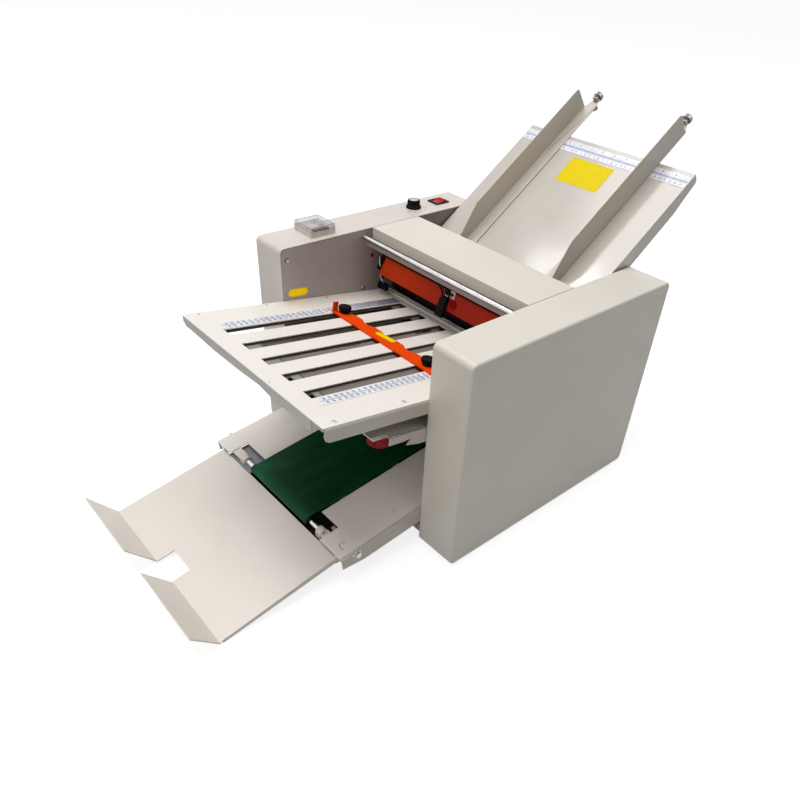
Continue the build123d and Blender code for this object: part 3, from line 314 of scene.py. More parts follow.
# Painted shade: the lower stop bar and its grips take a dark copy of the stop bars' red, for the shade under
# the top plate.
grip_shade_coat = powder_coat("grip_coat_painted_shade", chip(150, 22, 14), gloss=(0.5, 0.62), specular=0.2)
motor_paint = powder_coat("motor_enamel", chip(58, 58, 60), gloss=(0.30, 0.45))
# Painted light: the inner frame grows lighter towards the front, where more light reaches it.
overlay(inner_paint, chip(206, 196, 192), fade("Y", -0.10, -0.17, 0.7))
# Painted shade and reflection: towards the rear, near the red guard, the inner frame turns a darker red-grey.
overlay(inner_paint, chip(116, 96, 96), fade("Y", -0.005, 0.065, 0.7))
# Painted light: towards its left end the guard fades back to a bright red.
overlay(guard_light_shade_coat, chip(232, 74, 12), fade("X", 0.0, -0.13, 0.6))
# Painted shadow: from 314.5 to 317.5 mm up, the guard turns near black, under the hood and the first rod.
overlay(guard_light_shade_coat, chip(58, 10, 6), fade("Z", 0.3145, 0.3175))
# Painted shade: parts of the stop bar lower than about 4 mm over the top plate, its hanging fingers, turn
# dark red for the shade under the bar.
overlay(bar_paint, chip(104, 16, 10), rise(0.0040, 0.0036))
# Painted shade: past 176 mm to the right and below the top plate's face, the plate coat darkens for the shade
# on the turned-down right edge.
overlay(plate_paint, chip(208, 199, 189), both(fade("X", 0.176, 0.179), rise(0.0, -0.003)))
# Where the lower sheet rises 1.6 mm over the top plate it takes the plate colour, and its front lip takes a
# light grey, outside the painted shade.
overlay(under_sheet_shade_coat, PLATE_COLOUR, rise(0.0012, 0.0016))
overlay(under_sheet_shade_coat, chip(206, 206, 202), fade("Y", -0.2915, -0.2925))
print("powder coats:", len(bpy.data.materials))

# %% [markdown]
# ### Bare metals
# Rolled sheet has a grain along one direction, so its noise is stretched. Turned and plated parts
# have a finer, nearly even surface. Sintered bronze is pitted and holds oil in darker spots.

# %% Metal finishes
def metal(name, colour, gloss, grain=(1.0, 1.0, 1.0), size=2.0, depth=0.02, stain=0.12):
    """A metal with a stretched grain in colour, gloss and height, and wide faint stains."""
    made, tree, shader, point = material(name, Metallic=1.0)
    stretched = node(tree, "Mapping", Vector=point, Scale=grain).outputs["Vector"]
    line = noise(tree, stretched, size, 4.0)
    tone = ramp(tree, line, (0.3, shade(colour, 0.86)), (0.7, shade(colour, 1.08)))
    spot = span(tree, noise(tree, point, 30, 5.0, 0.6), 0.5, 0.72, 0.0, stain)
    tone = mixed(tree, spot, tone, shade(colour, 0.45))
    tree.links.new(tone, shader.inputs["Base Color"])
    tree.links.new(span(tree, line, 0.3, 0.7, *gloss), shader.inputs["Roughness"])
    tree.links.new(bumped(tree, line, depth), shader.inputs["Normal"])
    return made


sheet_metal = metal("rolled_sheet", chip(176, 174, 170), (0.34, 0.46), (0.08, 1.0, 1.0), 1.6)
bright_metal = metal("bright_plating", chip(226, 226, 230), (0.08, 0.16), (0.3, 1.0, 1.0), 6.0, 0.004, 0.05)
zinc_metal = metal("zinc_plating", chip(196, 196, 192), (0.22, 0.34), (1.0, 1.0, 1.0), 3.0, 0.01, 0.10)
rod_metal = metal("ground_rod", chip(226, 226, 228), (0.16, 0.26), (0.3, 1.0, 1.0), 6.0, 0.004, 0.05)
# Painted shade: below about 352 mm the rods turn dark grey, the first rod's lower side and the lower rods
# whole.
overlay(rod_metal, chip(74, 72, 70), fade("Z", 0.3532, 0.3512))
turned_metal = metal("turned_plating", chip(150, 146, 142), (0.24, 0.34), (1.0, 1.0, 1.0), 3.0, 0.01, 0.35)
bronze = metal("oiled_bronze", chip(186, 146, 92), (0.32, 0.5), (1.0, 1.0, 1.0), 0.8, 0.03, 0.5)
print("metals done")

# %% [markdown]
# ### Rubber, plastic and print
# Ground rubber is matt with a fine grit. Moulded plastic is a little glossier with a spark-eroded
# grain. The clear counter lid is thin, so most light goes straight through it: an alpha of a fifth
# says so, and a low roughness keeps its shine. The printed tape is glossy white with a cool tint.

# %% Rubber and plastic finishes
def moulded(name, colour, gloss, grain=0.8, depth=0.02, wear=0.0, mottle=(0.88, 1.14), **sockets):
    """Plastic or rubber: fine grain bump, uneven gloss and a pale bloom where it is handled."""
    made, tree, shader, point = material(name, **sockets)
    cloud = noise(tree, point, 18, 4.0)
    tone = ramp(tree, cloud, (0.3, shade(colour, mottle[0])), (0.7, shade(colour, mottle[1])))
    if wear:
        bloom = span(tree, noise(tree, point, 5, 5.0, 0.65), 0.52, 0.70, 0.0, wear)
        tone = mixed(tree, bloom, tone, (0.30, 0.29, 0.28, 1.0))
    tree.links.new(tone, shader.inputs["Base Color"])
    tree.links.new(span(tree, cloud, 0.35, 0.65, *gloss), shader.inputs["Roughness"])
    tree.links.new(bumped(tree, noise(tree, point, grain, 3.0), depth), shader.inputs["Normal"])
    return made


roller_rubber = moulded("ground_rubber", chip(22, 21, 22), (0.6, 0.8), 0.5, 0.03, wear=0.04,
                        Specular_IOR_Level=0.12)
foot_rubber = moulded("moulded_rubber", chip(28, 28, 28), (0.6, 0.8), 0.7, 0.03, wear=0.12)
belt_rubber = moulded("toothed_belt_rubber", chip(18, 18, 18), (0.6, 0.8), 0.6, 0.04, wear=0.04,
                      Specular_IOR_Level=0.12)
black_plastic = moulded("black_plastic", chip(12, 12, 14), (0.36, 0.5), 0.6, 0.015, wear=0.02,
                        Specular_IOR_Level=0.08)
grey_plastic = moulded("grey_plastic", chip(178, 178, 176), (0.35, 0.5), 0.6, 0.015)
beige_plastic = moulded("beige_plastic", chip(214, 208, 196), (0.32, 0.46), 0.6, 0.015)
red_plastic = moulded("red_plastic", chip(184, 6, 18), (0.2, 0.3), 0.9, 0.006, Specular_IOR_Level=0.1)
dark_red_plastic = moulded("dark_red_plastic", chip(136, 6, 10), (0.4, 0.5), 0.9, 0.006,
                           Specular_IOR_Level=0.05)
tape_white = moulded("printed_tape", chip(232, 233, 240), (0.16, 0.30), 3.0, 0.01)
# Painted shade: the scale tapes beside the slots darken towards their rear ends under the hood; the feed
# tray's tape lies beyond this and stays white.
overlay(tape_white, chip(92, 90, 100), both(fade("Y", -0.10, 0.03, 0.8), fade("Y", 0.12, 0.10)))
label_yellow = moulded("yellow_film", chip(242, 216, 0), (0.34, 0.46), 2.0, 0.01, mottle=(0.97, 1.03),
                       Specular_IOR_Level=0.08)
# Painted light: the frame label's film glows a little, for the light on it in the frame's shade.
glowing_yellow_film = moulded("yellow_film_painted_glow", chip(250, 212, 2), (0.34, 0.46), 2.0, 0.01, mottle=(0.97, 1.03),
                       Specular_IOR_Level=0.08, Emission_Color=chip(250, 200, 6), Emission_Strength=0.28)
board_green = moulded("lacquered_board", chip(24, 92, 50), (0.22, 0.4), 1.2, 0.03)
clear_plastic = moulded("clear_plastic", chip(206, 206, 212), (0.06, 0.14), 4.0, 0.004, mottle=(0.96, 1.0),
                        Alpha=0.2)
print("materials so far:", len(bpy.data.materials))

# %% [markdown]
# ### The green belt
# The delivery belt is a thin polymer band with a faint woven face. The weave is two crossed waves
# of a millimetre or so, and long lengthwise streaks show where sheets have polished it. A paler
# band round the nose and a pale cloudy patch behind it are painted highlight.

# %% Belt finish
def belt_finish(name, colour, painted_highlight):
    """Two crossed sine weaves for the bump, polished streaks, and a painted highlight round the nose."""
    made, tree, shader, point = material(name, Specular_IOR_Level=0.10)
    threads = [node(tree, "TexWave", Vector=point, Scale=170.0, Distortion=0.4).outputs["Fac"]]
    turned_point = node(tree, "Mapping", Vector=point, Rotation=(0, 0, math.pi / 2)).outputs["Vector"]
    threads.append(node(tree, "TexWave", Vector=turned_point, Scale=170.0, Distortion=0.4).outputs["Fac"])
    weave = calc(tree, "MULTIPLY", *threads)
    along = node(tree, "Mapping", Vector=point, Scale=(1.0, 0.05, 1.0)).outputs["Vector"]
    streak = noise(tree, along, 14, 4.0)
    tone = ramp(tree, streak, (0.32, shade(colour, 0.80)), (0.68, shade(colour, 1.25)))
    place = node(tree, "SeparateXYZ", Vector=point).outputs
    # Painted highlight: the nose band and the cloudy patch mix in the paler green.
    nose = span(tree, place["Y"], -0.266, -0.280, 0.0, 0.55)
    tone = mixed(tree, nose, tone, painted_highlight)
    patch = calc(tree, "MULTIPLY", span(tree, place["Y"], -0.225, -0.262, 0.0, 1.0),
                 span(tree, place["X"], -0.020, -0.050, 0.0, 1.0))
    cloud = span(tree, noise(tree, point, 40, 3.0), 0.40, 0.52, 0.25, 0.85)
    tone = mixed(tree, calc(tree, "MULTIPLY", patch, cloud), tone, shade(painted_highlight, 1.3))
    tree.links.new(tone, shader.inputs["Base Color"])
    tree.links.new(span(tree, streak, 0.35, 0.65, 0.34, 0.50), shader.inputs["Roughness"])
    tree.links.new(bumped(tree, weave, 0.05, 0.6), shader.inputs["Normal"])
    return made


belt_green = belt_finish("woven_green_belt", chip(0, 56, 22), chip(24, 86, 58))
print("belt finish done")

# %% [markdown]
# ## Dressing the CAD nodes
# Each CAD node came with one flat colour, named by its slot. A table from slot to finish repaints
# them all, and a second table names the nodes whose finish differs from their slot's: some for a
# real difference, and some for a lighter or darker copy of a paint, which is painted light or shade.

# %% Repaint every node
SLOT_FINISH = {
    "cover_paint": cover_paint, "frame_paint": inner_paint, "sheet_steel": sheet_metal,
    "bright_steel": bright_metal, "bush_bronze": bronze, "roller_rubber": roller_rubber,
    "foot_rubber": foot_rubber, "belt_green": belt_green, "belt_black": belt_rubber,
    "bar_red": bar_paint, "black_plastic": black_plastic, "key_grey": grey_plastic,
    "clear_cover": clear_plastic, "switch_red": red_plastic, "scale_white": tape_white,
    "motor_grey": motor_paint, "board_green": board_green}
# Painted light and shade in this table: the delivery tables, extension tray, feed tray, feed guides, left
# cover, guard, lower stop bar and the top plate's lower sheet take lighter or darker copies of their paint.
NODE_FINISH = {
    "fold_plate_1_top": plate_paint, "fold_plate_1_bottom": under_sheet_shade_coat,
    "fold_plate_2": plate_paint, "delivery_table_left": plate_paint, "delivery_table_right": plate_paint,
    "extension_tray": apron_light_coat, "stop_bar_2": grip_shade_coat, "tie_rods": rod_metal,
    "feed_tray": tray_shade_coat, "feed_guide_left": guide_shade_coat, "feed_guide_right": guide_shade_coat,
               "roller_guard": guard_light_shade_coat, "counter_body": beige_plastic,
    "tension_bolts": zinc_metal, "side_cover_left": left_cover_shade_coat}
node_slot = {part["node"]: part["material_slot"] for part in frame["record"]["subparts"]}


def repaint(name, finish):
    """Puts the finish in every material slot of a CAD node's object and of its children."""
    holder = frame["nodes"][name]
    for piece in [holder, *holder.children_recursive]:
        if piece.type == "MESH":
            for entry in piece.material_slots:
                entry.material = finish


for name, slot_name in node_slot.items():
    repaint(name, NODE_FINISH.get(name, SLOT_FINISH[slot_name]))
print("repainted", len(node_slot), "nodes")

# %% [markdown]
# ## Floor and light
# The floor is white and keeps the soft shadow. Where the camera looks at it directly it also glows
# a little, so that it reads as white paper, and the world shows white to the camera and to
# reflections. A wide lamp overhead makes the tops light and leaves the sides that face the camera
# in a soft shade, a weak one in front lifts the front faces, and a narrow one glints on the tray.

# %% Floor, world and lamps
WORLD_LEVEL = 0.285
FLOOR_GLOW = 0.80
FLOOR_SIZE = 80.0


def looked_at(tree):
    """1 for a camera, glossy or transmitted ray, and 0 for the light that falls on the object."""
    rays = node(tree, "LightPath").outputs
    return calc(tree, "MAXIMUM", rays["Is Camera Ray"],
                calc(tree, "MAXIMUM", rays["Is Glossy Ray"], rays["Is Transmission Ray"]))


floor_mesh = bpy.data.meshes.new("studio_floor")
corner = FLOOR_SIZE / 2
floor_mesh.from_pydata([(-corner, -corner, 0), (corner, -corner, 0), (corner, corner, 0),
                        (-corner, corner, 0)], [], [(0, 1, 2, 3)])
floor = bpy.data.objects.new("studio_floor", floor_mesh)
bpy.context.collection.objects.link(floor)
floor_paint, tree, shader, point = material("floor_white", Roughness=0.9, Specular_IOR_Level=0.1)
floor_tone = ramp(tree, noise(tree, point, 300, 2.0), (0, (0.44, 0.44, 0.44, 1)), (1, (0.46, 0.46, 0.46, 1)))
tree.links.new(floor_tone, shader.inputs["Base Color"])
shader.inputs["Emission Color"].default_value = (1, 1, 1, 1)
tree.links.new(calc(tree, "MULTIPLY", looked_at(tree), FLOOR_GLOW), shader.inputs["Emission Strength"])
floor_mesh.materials.append(floor_paint)

world = bpy.data.worlds.new("studio_world")
bpy.context.scene.world = world
world.use_nodes = True
tree = world.node_tree
background = tree.nodes["Background"]
background.inputs["Color"].default_value = (1.0, 1.0, 1.0, 1.0)
tree.links.new(span(tree, looked_at(tree), 0.0, 1.0, WORLD_LEVEL, 1.0), background.inputs["Strength"])


def lamp(name, at, size, power, aim=(0, 0, 0.25), colour=(1, 1, 1)):
    """An area lamp of that (width, height) in metres and power in watts, turned towards aim."""
    data = bpy.data.lights.new(name, "AREA")
    data.shape, data.energy, data.color = "RECTANGLE", power, colour
    data.size, data.size_y = size
    made = bpy.data.objects.new(name, data)
    bpy.context.collection.objects.link(made)
    away = Matrix.Translation(at).to_translation() - Matrix.Translation(aim).to_translation()
    made.matrix_world = Matrix.Translation(at) @ away.to_track_quat("Z", "Y").to_matrix().to_4x4()
    return made


lamp("overhead_lamp", (-0.9, -0.1, 4.6), (3.0, 3.0), 134)
lamp("front_lamp", (0.35, -2.1, 2.0), (1.2, 1.2), 10.5, (0, -0.4, 0.1), (1.0, 0.97, 0.94))
lamp("tray_glint", (-1.50, -0.02, 2.87), (0.09, 0.40), 2.8, (0.09, 0.24, 0.355))
bpy.context.scene.view_settings.view_transform = "Standard"
print("floor, world and lamps placed")

# %% [markdown]
# ## Shapes as functions
# Every new piece is a surface worked out as whole arrays: a profile turned about an axis, a
# rounded outline stacked in levels, or a flat outline given a thickness. The functions below
# return vertices and faces, and one last function joins such parts into a piece that rides on a
# CAD body. Points that fall together at a pole or seam are merged there, and faces turned out.

# %% Grids of faces
def grid_faces(rows, columns, closed=True):
    """Quads between neighbours of a rows by columns grid, numbered row by row; closed joins the
    last column to the first."""
    r, c = np.meshgrid(np.arange(rows - 1), np.arange(columns if closed else columns - 1), indexing="ij")
    c2 = (c + 1) % columns
    return np.stack([r * columns + c, r * columns + c2, (r + 1) * columns + c2, (r + 1) * columns + c],
                    axis=-1).reshape(-1, 4)


def lathe(centre, axis, profile, columns=48, teeth=0, tooth=0.0, tooth_from=0.0):
    """A profile of (radius, height) turned about axis. The radius is cut by tooth at the bottom of
    each of the teeth, a cosine round the circle, where the profile is wider than tooth_from."""
    axis = np.array(axis, float) / np.linalg.norm(axis)
    side = np.cross(axis, (0, 0, 1) if abs(axis[2]) < 0.9 else (1, 0, 0))
    side /= np.linalg.norm(side)
    other = np.cross(axis, side)
    radius, height = np.array(profile, float).T
    angle = np.linspace(0, 2 * math.pi, columns, endpoint=False)
    cut = tooth * (0.5 - 0.5 * np.cos(teeth * angle))
    r = radius[:, None] - np.where(radius[:, None] > tooth_from, cut[None, :], 0.0) * bool(teeth)
    points = (np.array(centre, float) + height[:, None, None] * axis
              + r[..., None] * (np.cos(angle)[:, None] * side + np.sin(angle)[:, None] * other))
    return points.reshape(-1, 3), grid_faces(len(radius), columns).tolist()


def pill(half_x, half_run, corner, count=8):
    """A rounded rectangle about (0, 0): a quarter circle of radius corner at each of its corners."""
    quarter = np.linspace(0, math.pi / 2, count)
    turns = np.concatenate([quarter + k * math.pi / 2 for k in range(4)])
    sign_x = np.repeat((1, -1, -1, 1), count)
    sign_run = np.repeat((1, 1, -1, -1), count)
    return np.stack([sign_x * (half_x - corner) + corner * np.cos(turns),
                     sign_run * (half_run - corner) + corner * np.sin(turns)], axis=1)


def laid(place, x, run, flat, high, turn=0.0):
    """A flat shape's (u, v) points turned by turn degrees about (x, run), at height high."""
    c, s = math.cos(math.radians(turn)), math.sin(math.radians(turn))
    u, v = flat[:, 0], flat[:, 1]
    return place(x + u * c - v * s, run + u * s + v * c, high)


def slab(place, x, run, half_x, half_run, corner, levels, turn=0.0):
    """Rounded rectangles stacked in levels of (inset, height) and closed below and above by a
    middle point; turn rotates them in the sheet, in degrees."""
    rings = [laid(place, x, run, pill(half_x - inset, half_run - inset, max(corner - inset, 0.05)),
                  high, turn) for inset, high in levels]
    columns = len(rings[0])
    low, high = levels[0][1], levels[-1][1]
    middle = [np.repeat(place(x, run, h)[None, :], columns, axis=0) for h in (low, high)]
    points = np.concatenate([middle[0], *rings, middle[1]])
    return points, grid_faces(len(rings) + 2, columns).tolist()


def prism(place, outline, x_low, x_high):
    """A closed outline of (run, high) points carried from x_low to x_high, with both ends filled."""
    run, high = np.array(outline, float).T
    points = np.concatenate([place(np.full(len(run), x), run, high) for x in (x_low, x_high)])
    count = len(run)
    ends = [list(range(count))[::-1], list(range(count, 2 * count))]
    return points, grid_faces(2, count).tolist() + ends


def ticks(place, x, run, half_x, half_run, low, high):
    """One thin upright block for every entry of the arrays, with its eight corners by sign."""
    x, run, half_x, half_run = np.broadcast_arrays(*(np.asarray(v, float)
                                                     for v in (x, run, half_x, half_run)))
    sx = np.array((-1, 1, 1, -1, -1, 1, 1, -1))
    sr = np.array((-1, -1, 1, 1, -1, -1, 1, 1))
    h = np.array((low,) * 4 + (high,) * 4, float)
    points = place(x[:, None] + sx * half_x[:, None], run[:, None] + sr * half_run[:, None],
                   np.broadcast_to(h, (len(x), 8)))
    sides = np.array(((3, 2, 1, 0), (4, 5, 6, 7), (0, 1, 5, 4), (1, 2, 6, 5), (2, 3, 7, 6), (3, 0, 4, 7)))
    faces = (sides[None] + 8 * np.arange(len(x))[:, None, None]).reshape(-1, 4)
    return points.reshape(-1, 3), faces.tolist()


def tube(path, radius, columns=10):
    """A round tube along a path of points: circles square to the local direction, carried with a
    frame that turns as little as possible, and closed by a point at each end."""
    path = np.array(path, float)
    along = np.gradient(path, axis=0)
    along /= np.linalg.norm(along, axis=1)[:, None]
    side = np.cross(along, (0.31, 0.23, 0.92))
    side /= np.linalg.norm(side, axis=1)[:, None]
    other = np.cross(along, side)
    angle = np.linspace(0, 2 * math.pi, columns, endpoint=False)
    circle = np.cos(angle)[:, None] * side[:, None] + np.sin(angle)[:, None] * other[:, None]
    rings = path[:, None] + radius * circle
    ends = [np.repeat(path[k][None, None], columns, axis=1) for k in (0, -1)]
    points = np.concatenate([ends[0], rings, ends[1]])
    return points.reshape(-1, 3), grid_faces(len(path) + 2, columns).tolist()


print("shape functions ready")

# %% [markdown]
# One function turns parts into a finished piece. It scales millimetres to metres, merges the
# points that coincide, turns the faces outwards, keeps edges sharper than an angle crisp, gives
# it its finish, and hands the object to the frame: the body it rides on.

# %% From arrays to a piece
def piece(name, parts, finish, body, slot_name, stands_for=(), sharp=32):
    points, faces = [], []
    for part_points, part_faces in parts:
        offset = sum(len(p) for p in points)
        points.append(part_points)
        faces += [[v + offset for v in face] for face in part_faces]
    mesh = bpy.data.meshes.new(name)
    mesh.from_pydata((np.concatenate(points) * MM).tolist(), [], faces)
    work = bmesh.new()
    work.from_mesh(mesh)
    bmesh.ops.remove_doubles(work, verts=work.verts, dist=2e-6)
    bmesh.ops.dissolve_degenerate(work, edges=work.edges, dist=1e-7)
    bmesh.ops.recalc_face_normals(work, faces=work.faces)
    work.to_mesh(mesh)
    work.free()
    mesh.polygons.foreach_set("use_smooth", np.ones(len(mesh.polygons), bool))
    mesh.set_sharp_from_angle(angle=math.radians(sharp))
    mesh.materials.append(finish)
    made = bpy.data.objects.new(name, mesh)
    bpy.context.collection.objects.link(made)
    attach(made, body)
    if stands_for:
        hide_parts(*stands_for)
    print(name, len(mesh.polygons), "faces on", body)
    return made


# %% [markdown]
# ## Clamp knobs
# The stop bar is clamped by two black knobs: a stem, a flared skirt and a crown cut with
# grip teeth. A turned profile with a cosine taken off its radius gives every tooth at once, so
# the knob is one closed surface instead of a cylinder with pieces stuck on.

# %% Stop bar knobs
KNOB_X, BAR_RUN, BAR_TOP = 104.5, 167.0, 6.7
KNOB_PROFILE = [(0, -1.3), (3, -1.3), (3, BAR_TOP), (7.6, BAR_TOP), (8.0, 7.2), (8.4, 9.2), (9.7, 11.0),
                (10.5, 11.8), (10.8, 12.6), (10.8, 16.8), (10.5, 17.6), (9.6, 18.1), (7.4, 18.2),
                (6.9, 17.7), (0, 17.6)]
for side_name, sign in (("left", -1), ("right", 1)):
    turned = lathe(PLATE(sign * KNOB_X, BAR_RUN, 0), PLATE.above, KNOB_PROFILE, 144, 24, 0.9, 9.4)
    piece("stop_knob_crown_" + side_name, [turned], black_plastic, "stop_knob_" + side_name, "black_plastic",
          ["stop_knob_" + side_name])

# %% [markdown]
# The side guides end in a plated knurled screw along the slope, with a small black cone beneath
# that keeps the guide off the tray. The knurl is finer than on the clamp knobs, and the cap's
# face is dished, which catches a ring of light.

# %% Guide thumbscrews and cones
SCREW_X, SCREW_HIGH, GUIDE_END = 96.0, 5.0, 315.7
CAP_PROFILE = [(0, -3.0), (3, -3.0), (3, 3.0), (4.6, 3.0), (5.0, 3.4), (5.0, 4.6), (8.4, 4.8), (9, 5.4),
               (9, 10.6),
               (8.5, 11.6), (7.6, 12), (6.9, 11.8), (6.4, 10.8), (5.4, 10.2), (0, 10.0)]
CONE_PROFILE = [(0, -10.1), (2.9, -10.1), (3.2, -9.6), (6.2, -0.4), (6.35, 0.2), (6.1, 0.72), (0, 0.74)]
for side_name, sign in (("left", -1), ("right", 1)):
    guide = "feed_guide_" + side_name
    cap = lathe(TRAY(sign * SCREW_X, GUIDE_END, SCREW_HIGH), TRAY.along, CAP_PROFILE, 180, 45, 0.5, 8.7)
    piece("guide_screw_cap_" + side_name, [cap], turned_metal, "guide_thumbscrew_" + side_name,
          "bright_steel",
          ["guide_thumbscrew_" + side_name])
    cone = lathe(TRAY(sign * SCREW_X, GUIDE_END - 8, 0), TRAY.above, CONE_PROFILE, 40)
    piece("guide_foot_" + side_name, [cone], black_plastic, guide, "black_plastic")

# %% [markdown]
# ## Printed scales
# White tapes beside the slots and across the feed tray carry ticks and plain numbers. A digit's
# outline is the same wherever it stands, so each of the ten digits is made once from a text curve
# and then copied as an array, moved and laid into the sheet. Ticks are thin blocks set by arrays:
# one every ten millimetres beside the slots; on the tray long at ten millimetres and short at
# every two, and long at each inch and short at each quarter.

# %% Digits as arrays
def glyph(character):
    """The flat outline of one character, filled, as (points, faces) about its own centre, 1 high."""
    curve = bpy.data.curves.new("digit", "FONT")
    curve.body, curve.align_x, curve.resolution_u, curve.offset = character, "CENTER", 3, 0.045
    holder = bpy.data.objects.new("digit", curve)
    mesh = bpy.data.meshes.new_from_object(holder)
    points = np.zeros(len(mesh.vertices) * 3)
    mesh.vertices.foreach_get("co", points)
    points = points.reshape(-1, 3)[:, :2]
    faces = [list(face.vertices) for face in mesh.polygons]
    low, high = points.min(0), points.max(0)
    points = (points - (low + high) / 2) / (high[1] - low[1])
    for data, store in ((holder, bpy.data.objects), (curve, bpy.data.curves), (mesh, bpy.data.meshes)):
        store.remove(data)
    return points, faces


DIGITS = {character: glyph(character) for character in "0123456789"}
DIGIT_PITCH = 0.78


def number(place, text, x, run, high, size, turn=0.0):
    """Digits side by side, size tall, turned in the sheet by turn degrees; returns parts."""
    parts = []
    for k, character in enumerate(text):
        flat, faces = DIGITS[character]
        shifted = (flat + ((k - (len(text) - 1) / 2) * DIGIT_PITCH, 0.0)) * size
        parts.append((laid(place, x, run, shifted, high, turn), faces))
    return parts


print("digits made:", len(DIGITS))

# %% [markdown]
# The ink is a dark blue-black with a little gloss. It stands 0.02 mm above the tape, enough for
# the renderer to keep the two surfaces apart, and far less than anyone can see.

# %% Ink
ink = moulded("printing_ink", chip(34, 38, 58), (0.3, 0.4), 1.0, 0.003)
ink_blue = moulded("blue_line_ink", chip(110, 128, 184), (0.3, 0.4), 1.0, 0.003)
ink_violet = moulded("violet_line_ink", chip(178, 150, 200), (0.3, 0.4), 1.0, 0.003)
red_ink = moulded("red_mark_ink", chip(206, 60, 54), (0.3, 0.4), 1.0, 0.003)

# %% Scales beside the slots of the top plate
INK_HALF = 0.02


def printed(place, x, run, half_x, half_run, top):
    """Flat printed strokes, as thin blocks that reach INK_HALF above and below the height top."""
    return ticks(place, x, run, half_x, half_run, top - INK_HALF, top + INK_HALF)


PLATE_TOP, TAPE_THICK = 3.25, 0.52
TAPE_TOP = PLATE_TOP + TAPE_THICK
PLATE_SCALE_X, PLATE_SCALE_HALF, SCALE_FROM, SCALE_TO = 127.0, 10.0, 30, 380
steps = np.arange(SCALE_FROM, SCALE_TO + 1, 10)
tick_half = np.full(len(steps), 0.6)
for side_name, sign in (("left", -1), ("right", 1)):
    marks, middle = [], sign * PLATE_SCALE_X
    for edge in (-1, 1):
        at = middle + edge * (PLATE_SCALE_HALF - 0.5 - tick_half)
        marks.append(printed(PLATE, at, steps, tick_half, 0.16, TAPE_TOP))
        for value in range(SCALE_FROM + 10, SCALE_TO, 10):
            marks += number(PLATE, str(value // 10), middle + edge * 4.6, value, TAPE_TOP + INK_HALF, 4.0,
                            180)
    piece("scale_print_" + side_name, marks, ink, "machine", "scale_white")
    line = printed(PLATE, [middle], [(SCALE_FROM + SCALE_TO) / 2], [0.5], [(SCALE_TO - SCALE_FROM) / 2],
                   TAPE_TOP)
    piece("scale_line_" + side_name, [line], ink_blue, "machine", "scale_white")

# %% Scale across the feed tray
TRAY_TAPE_TOP = TAPE_THICK
TRAY_SCALE_LOW, TRAY_SCALE_HIGH, TRAY_SCALE_HALF, INCH = 192.0, 216.5, 176, 25.4
TRAY_MIDDLE = (TRAY_SCALE_LOW + TRAY_SCALE_HIGH) / 2
across_mm = np.arange(-TRAY_SCALE_HALF, TRAY_SCALE_HALF + 1, 2)
cm_half = np.where(across_mm % 10 == 0, 1.8, 1.0)
quarters = np.arange(-27, 28)
across_inch = quarters * INCH / 4
inch_half = np.where(quarters % 4 == 0, 1.9, 1.0)
marks = [printed(TRAY, across_mm, TRAY_MIDDLE - 1.4 - cm_half, 0.16, cm_half, TRAY_TAPE_TOP),
         printed(TRAY, across_inch, TRAY_MIDDLE + 2.0 + inch_half, 0.2, inch_half, TRAY_TAPE_TOP)]
for k in range(-17, 18):
    marks += number(TRAY, str(abs(k)), k * 10, TRAY_MIDDLE - 7.6, TRAY_TAPE_TOP + INK_HALF, 3.2)
for k in range(-6, 7):
    marks += number(TRAY, str(abs(k)), k * INCH, TRAY_MIDDLE + 8.2, TRAY_TAPE_TOP + INK_HALF, 3.6)
piece("tray_scale_print", marks, ink, "machine", "scale_white")
for name, offset, finish in (("tray_scale_line_blue", -0.8, ink_blue),
                             ("tray_scale_line_violet", 1.2, ink_violet)):
    line = printed(TRAY, [0], [TRAY_MIDDLE + offset], [TRAY_SCALE_HALF + 3], [0.6], TRAY_TAPE_TOP)
    piece(name, [line], finish, "machine", "scale_white")

# %% [markdown]
# ## Blank labels
# Three yellow film labels are left blank: a large one on the feed tray, an oval one inside the
# left frame and a small one on the stop bar. Film is thin, so each is a rounded slab a few tenths
# of a millimetre high with a softened edge, and a darker border line is printed just inside the
# two larger ones.

# %% Labels
FRAME_FACE = -184.5


def on_left_frame(y, z, out):
    """A point on the left frame's inner face: y along, z up, out towards the middle."""
    y, z, out = np.broadcast_arrays(*(np.asarray(v, float) for v in (y, z, out)))
    return np.stack([FRAME_FACE + out, y, z], axis=-1)


def film(base):
    """The levels of a film 0.25 mm thick with a soft edge, above the height base."""
    return [(0, base), (0, base + 0.15), (0.12, base + 0.24), (0.3, base + 0.25)]


TRAY_LABEL = (0, 156.5, 46, 28.5, 2.5)
OVAL_LABEL, OVAL_TURN = (-111.0, 284.0, 19.0, 6.8, 6.5), -7.0
piece("tray_label", [slab(TRAY, *TRAY_LABEL, film(0.0))], label_yellow, "machine", "scale_white")
oval = slab(on_left_frame, *OVAL_LABEL, film(0.0), OVAL_TURN)
# The oval label glows as painted light.
piece("frame_label", [oval], glowing_yellow_film, "machine", "scale_white")
bar_film = slab(PLATE, 1, BAR_RUN - 3, 20.5, 5.4, 5.3, film(6.5), -6.0)
piece("bar_label", [bar_film], label_yellow, "stop_bar_1", "bar_red")


def ring_line(place, x, run, half_x, half_run, corner, inset, width, high, turn=0.0):
    """A flat printed line that follows a rounded rectangle, inset from its edge."""
    rings = [pill(half_x - i, half_run - i, max(corner - i, 0.3)) for i in (inset, inset + width)]
    points = np.concatenate([laid(place, x, run, ring, high, turn) for ring in rings])
    return points, grid_faces(2, len(rings[0])).tolist()


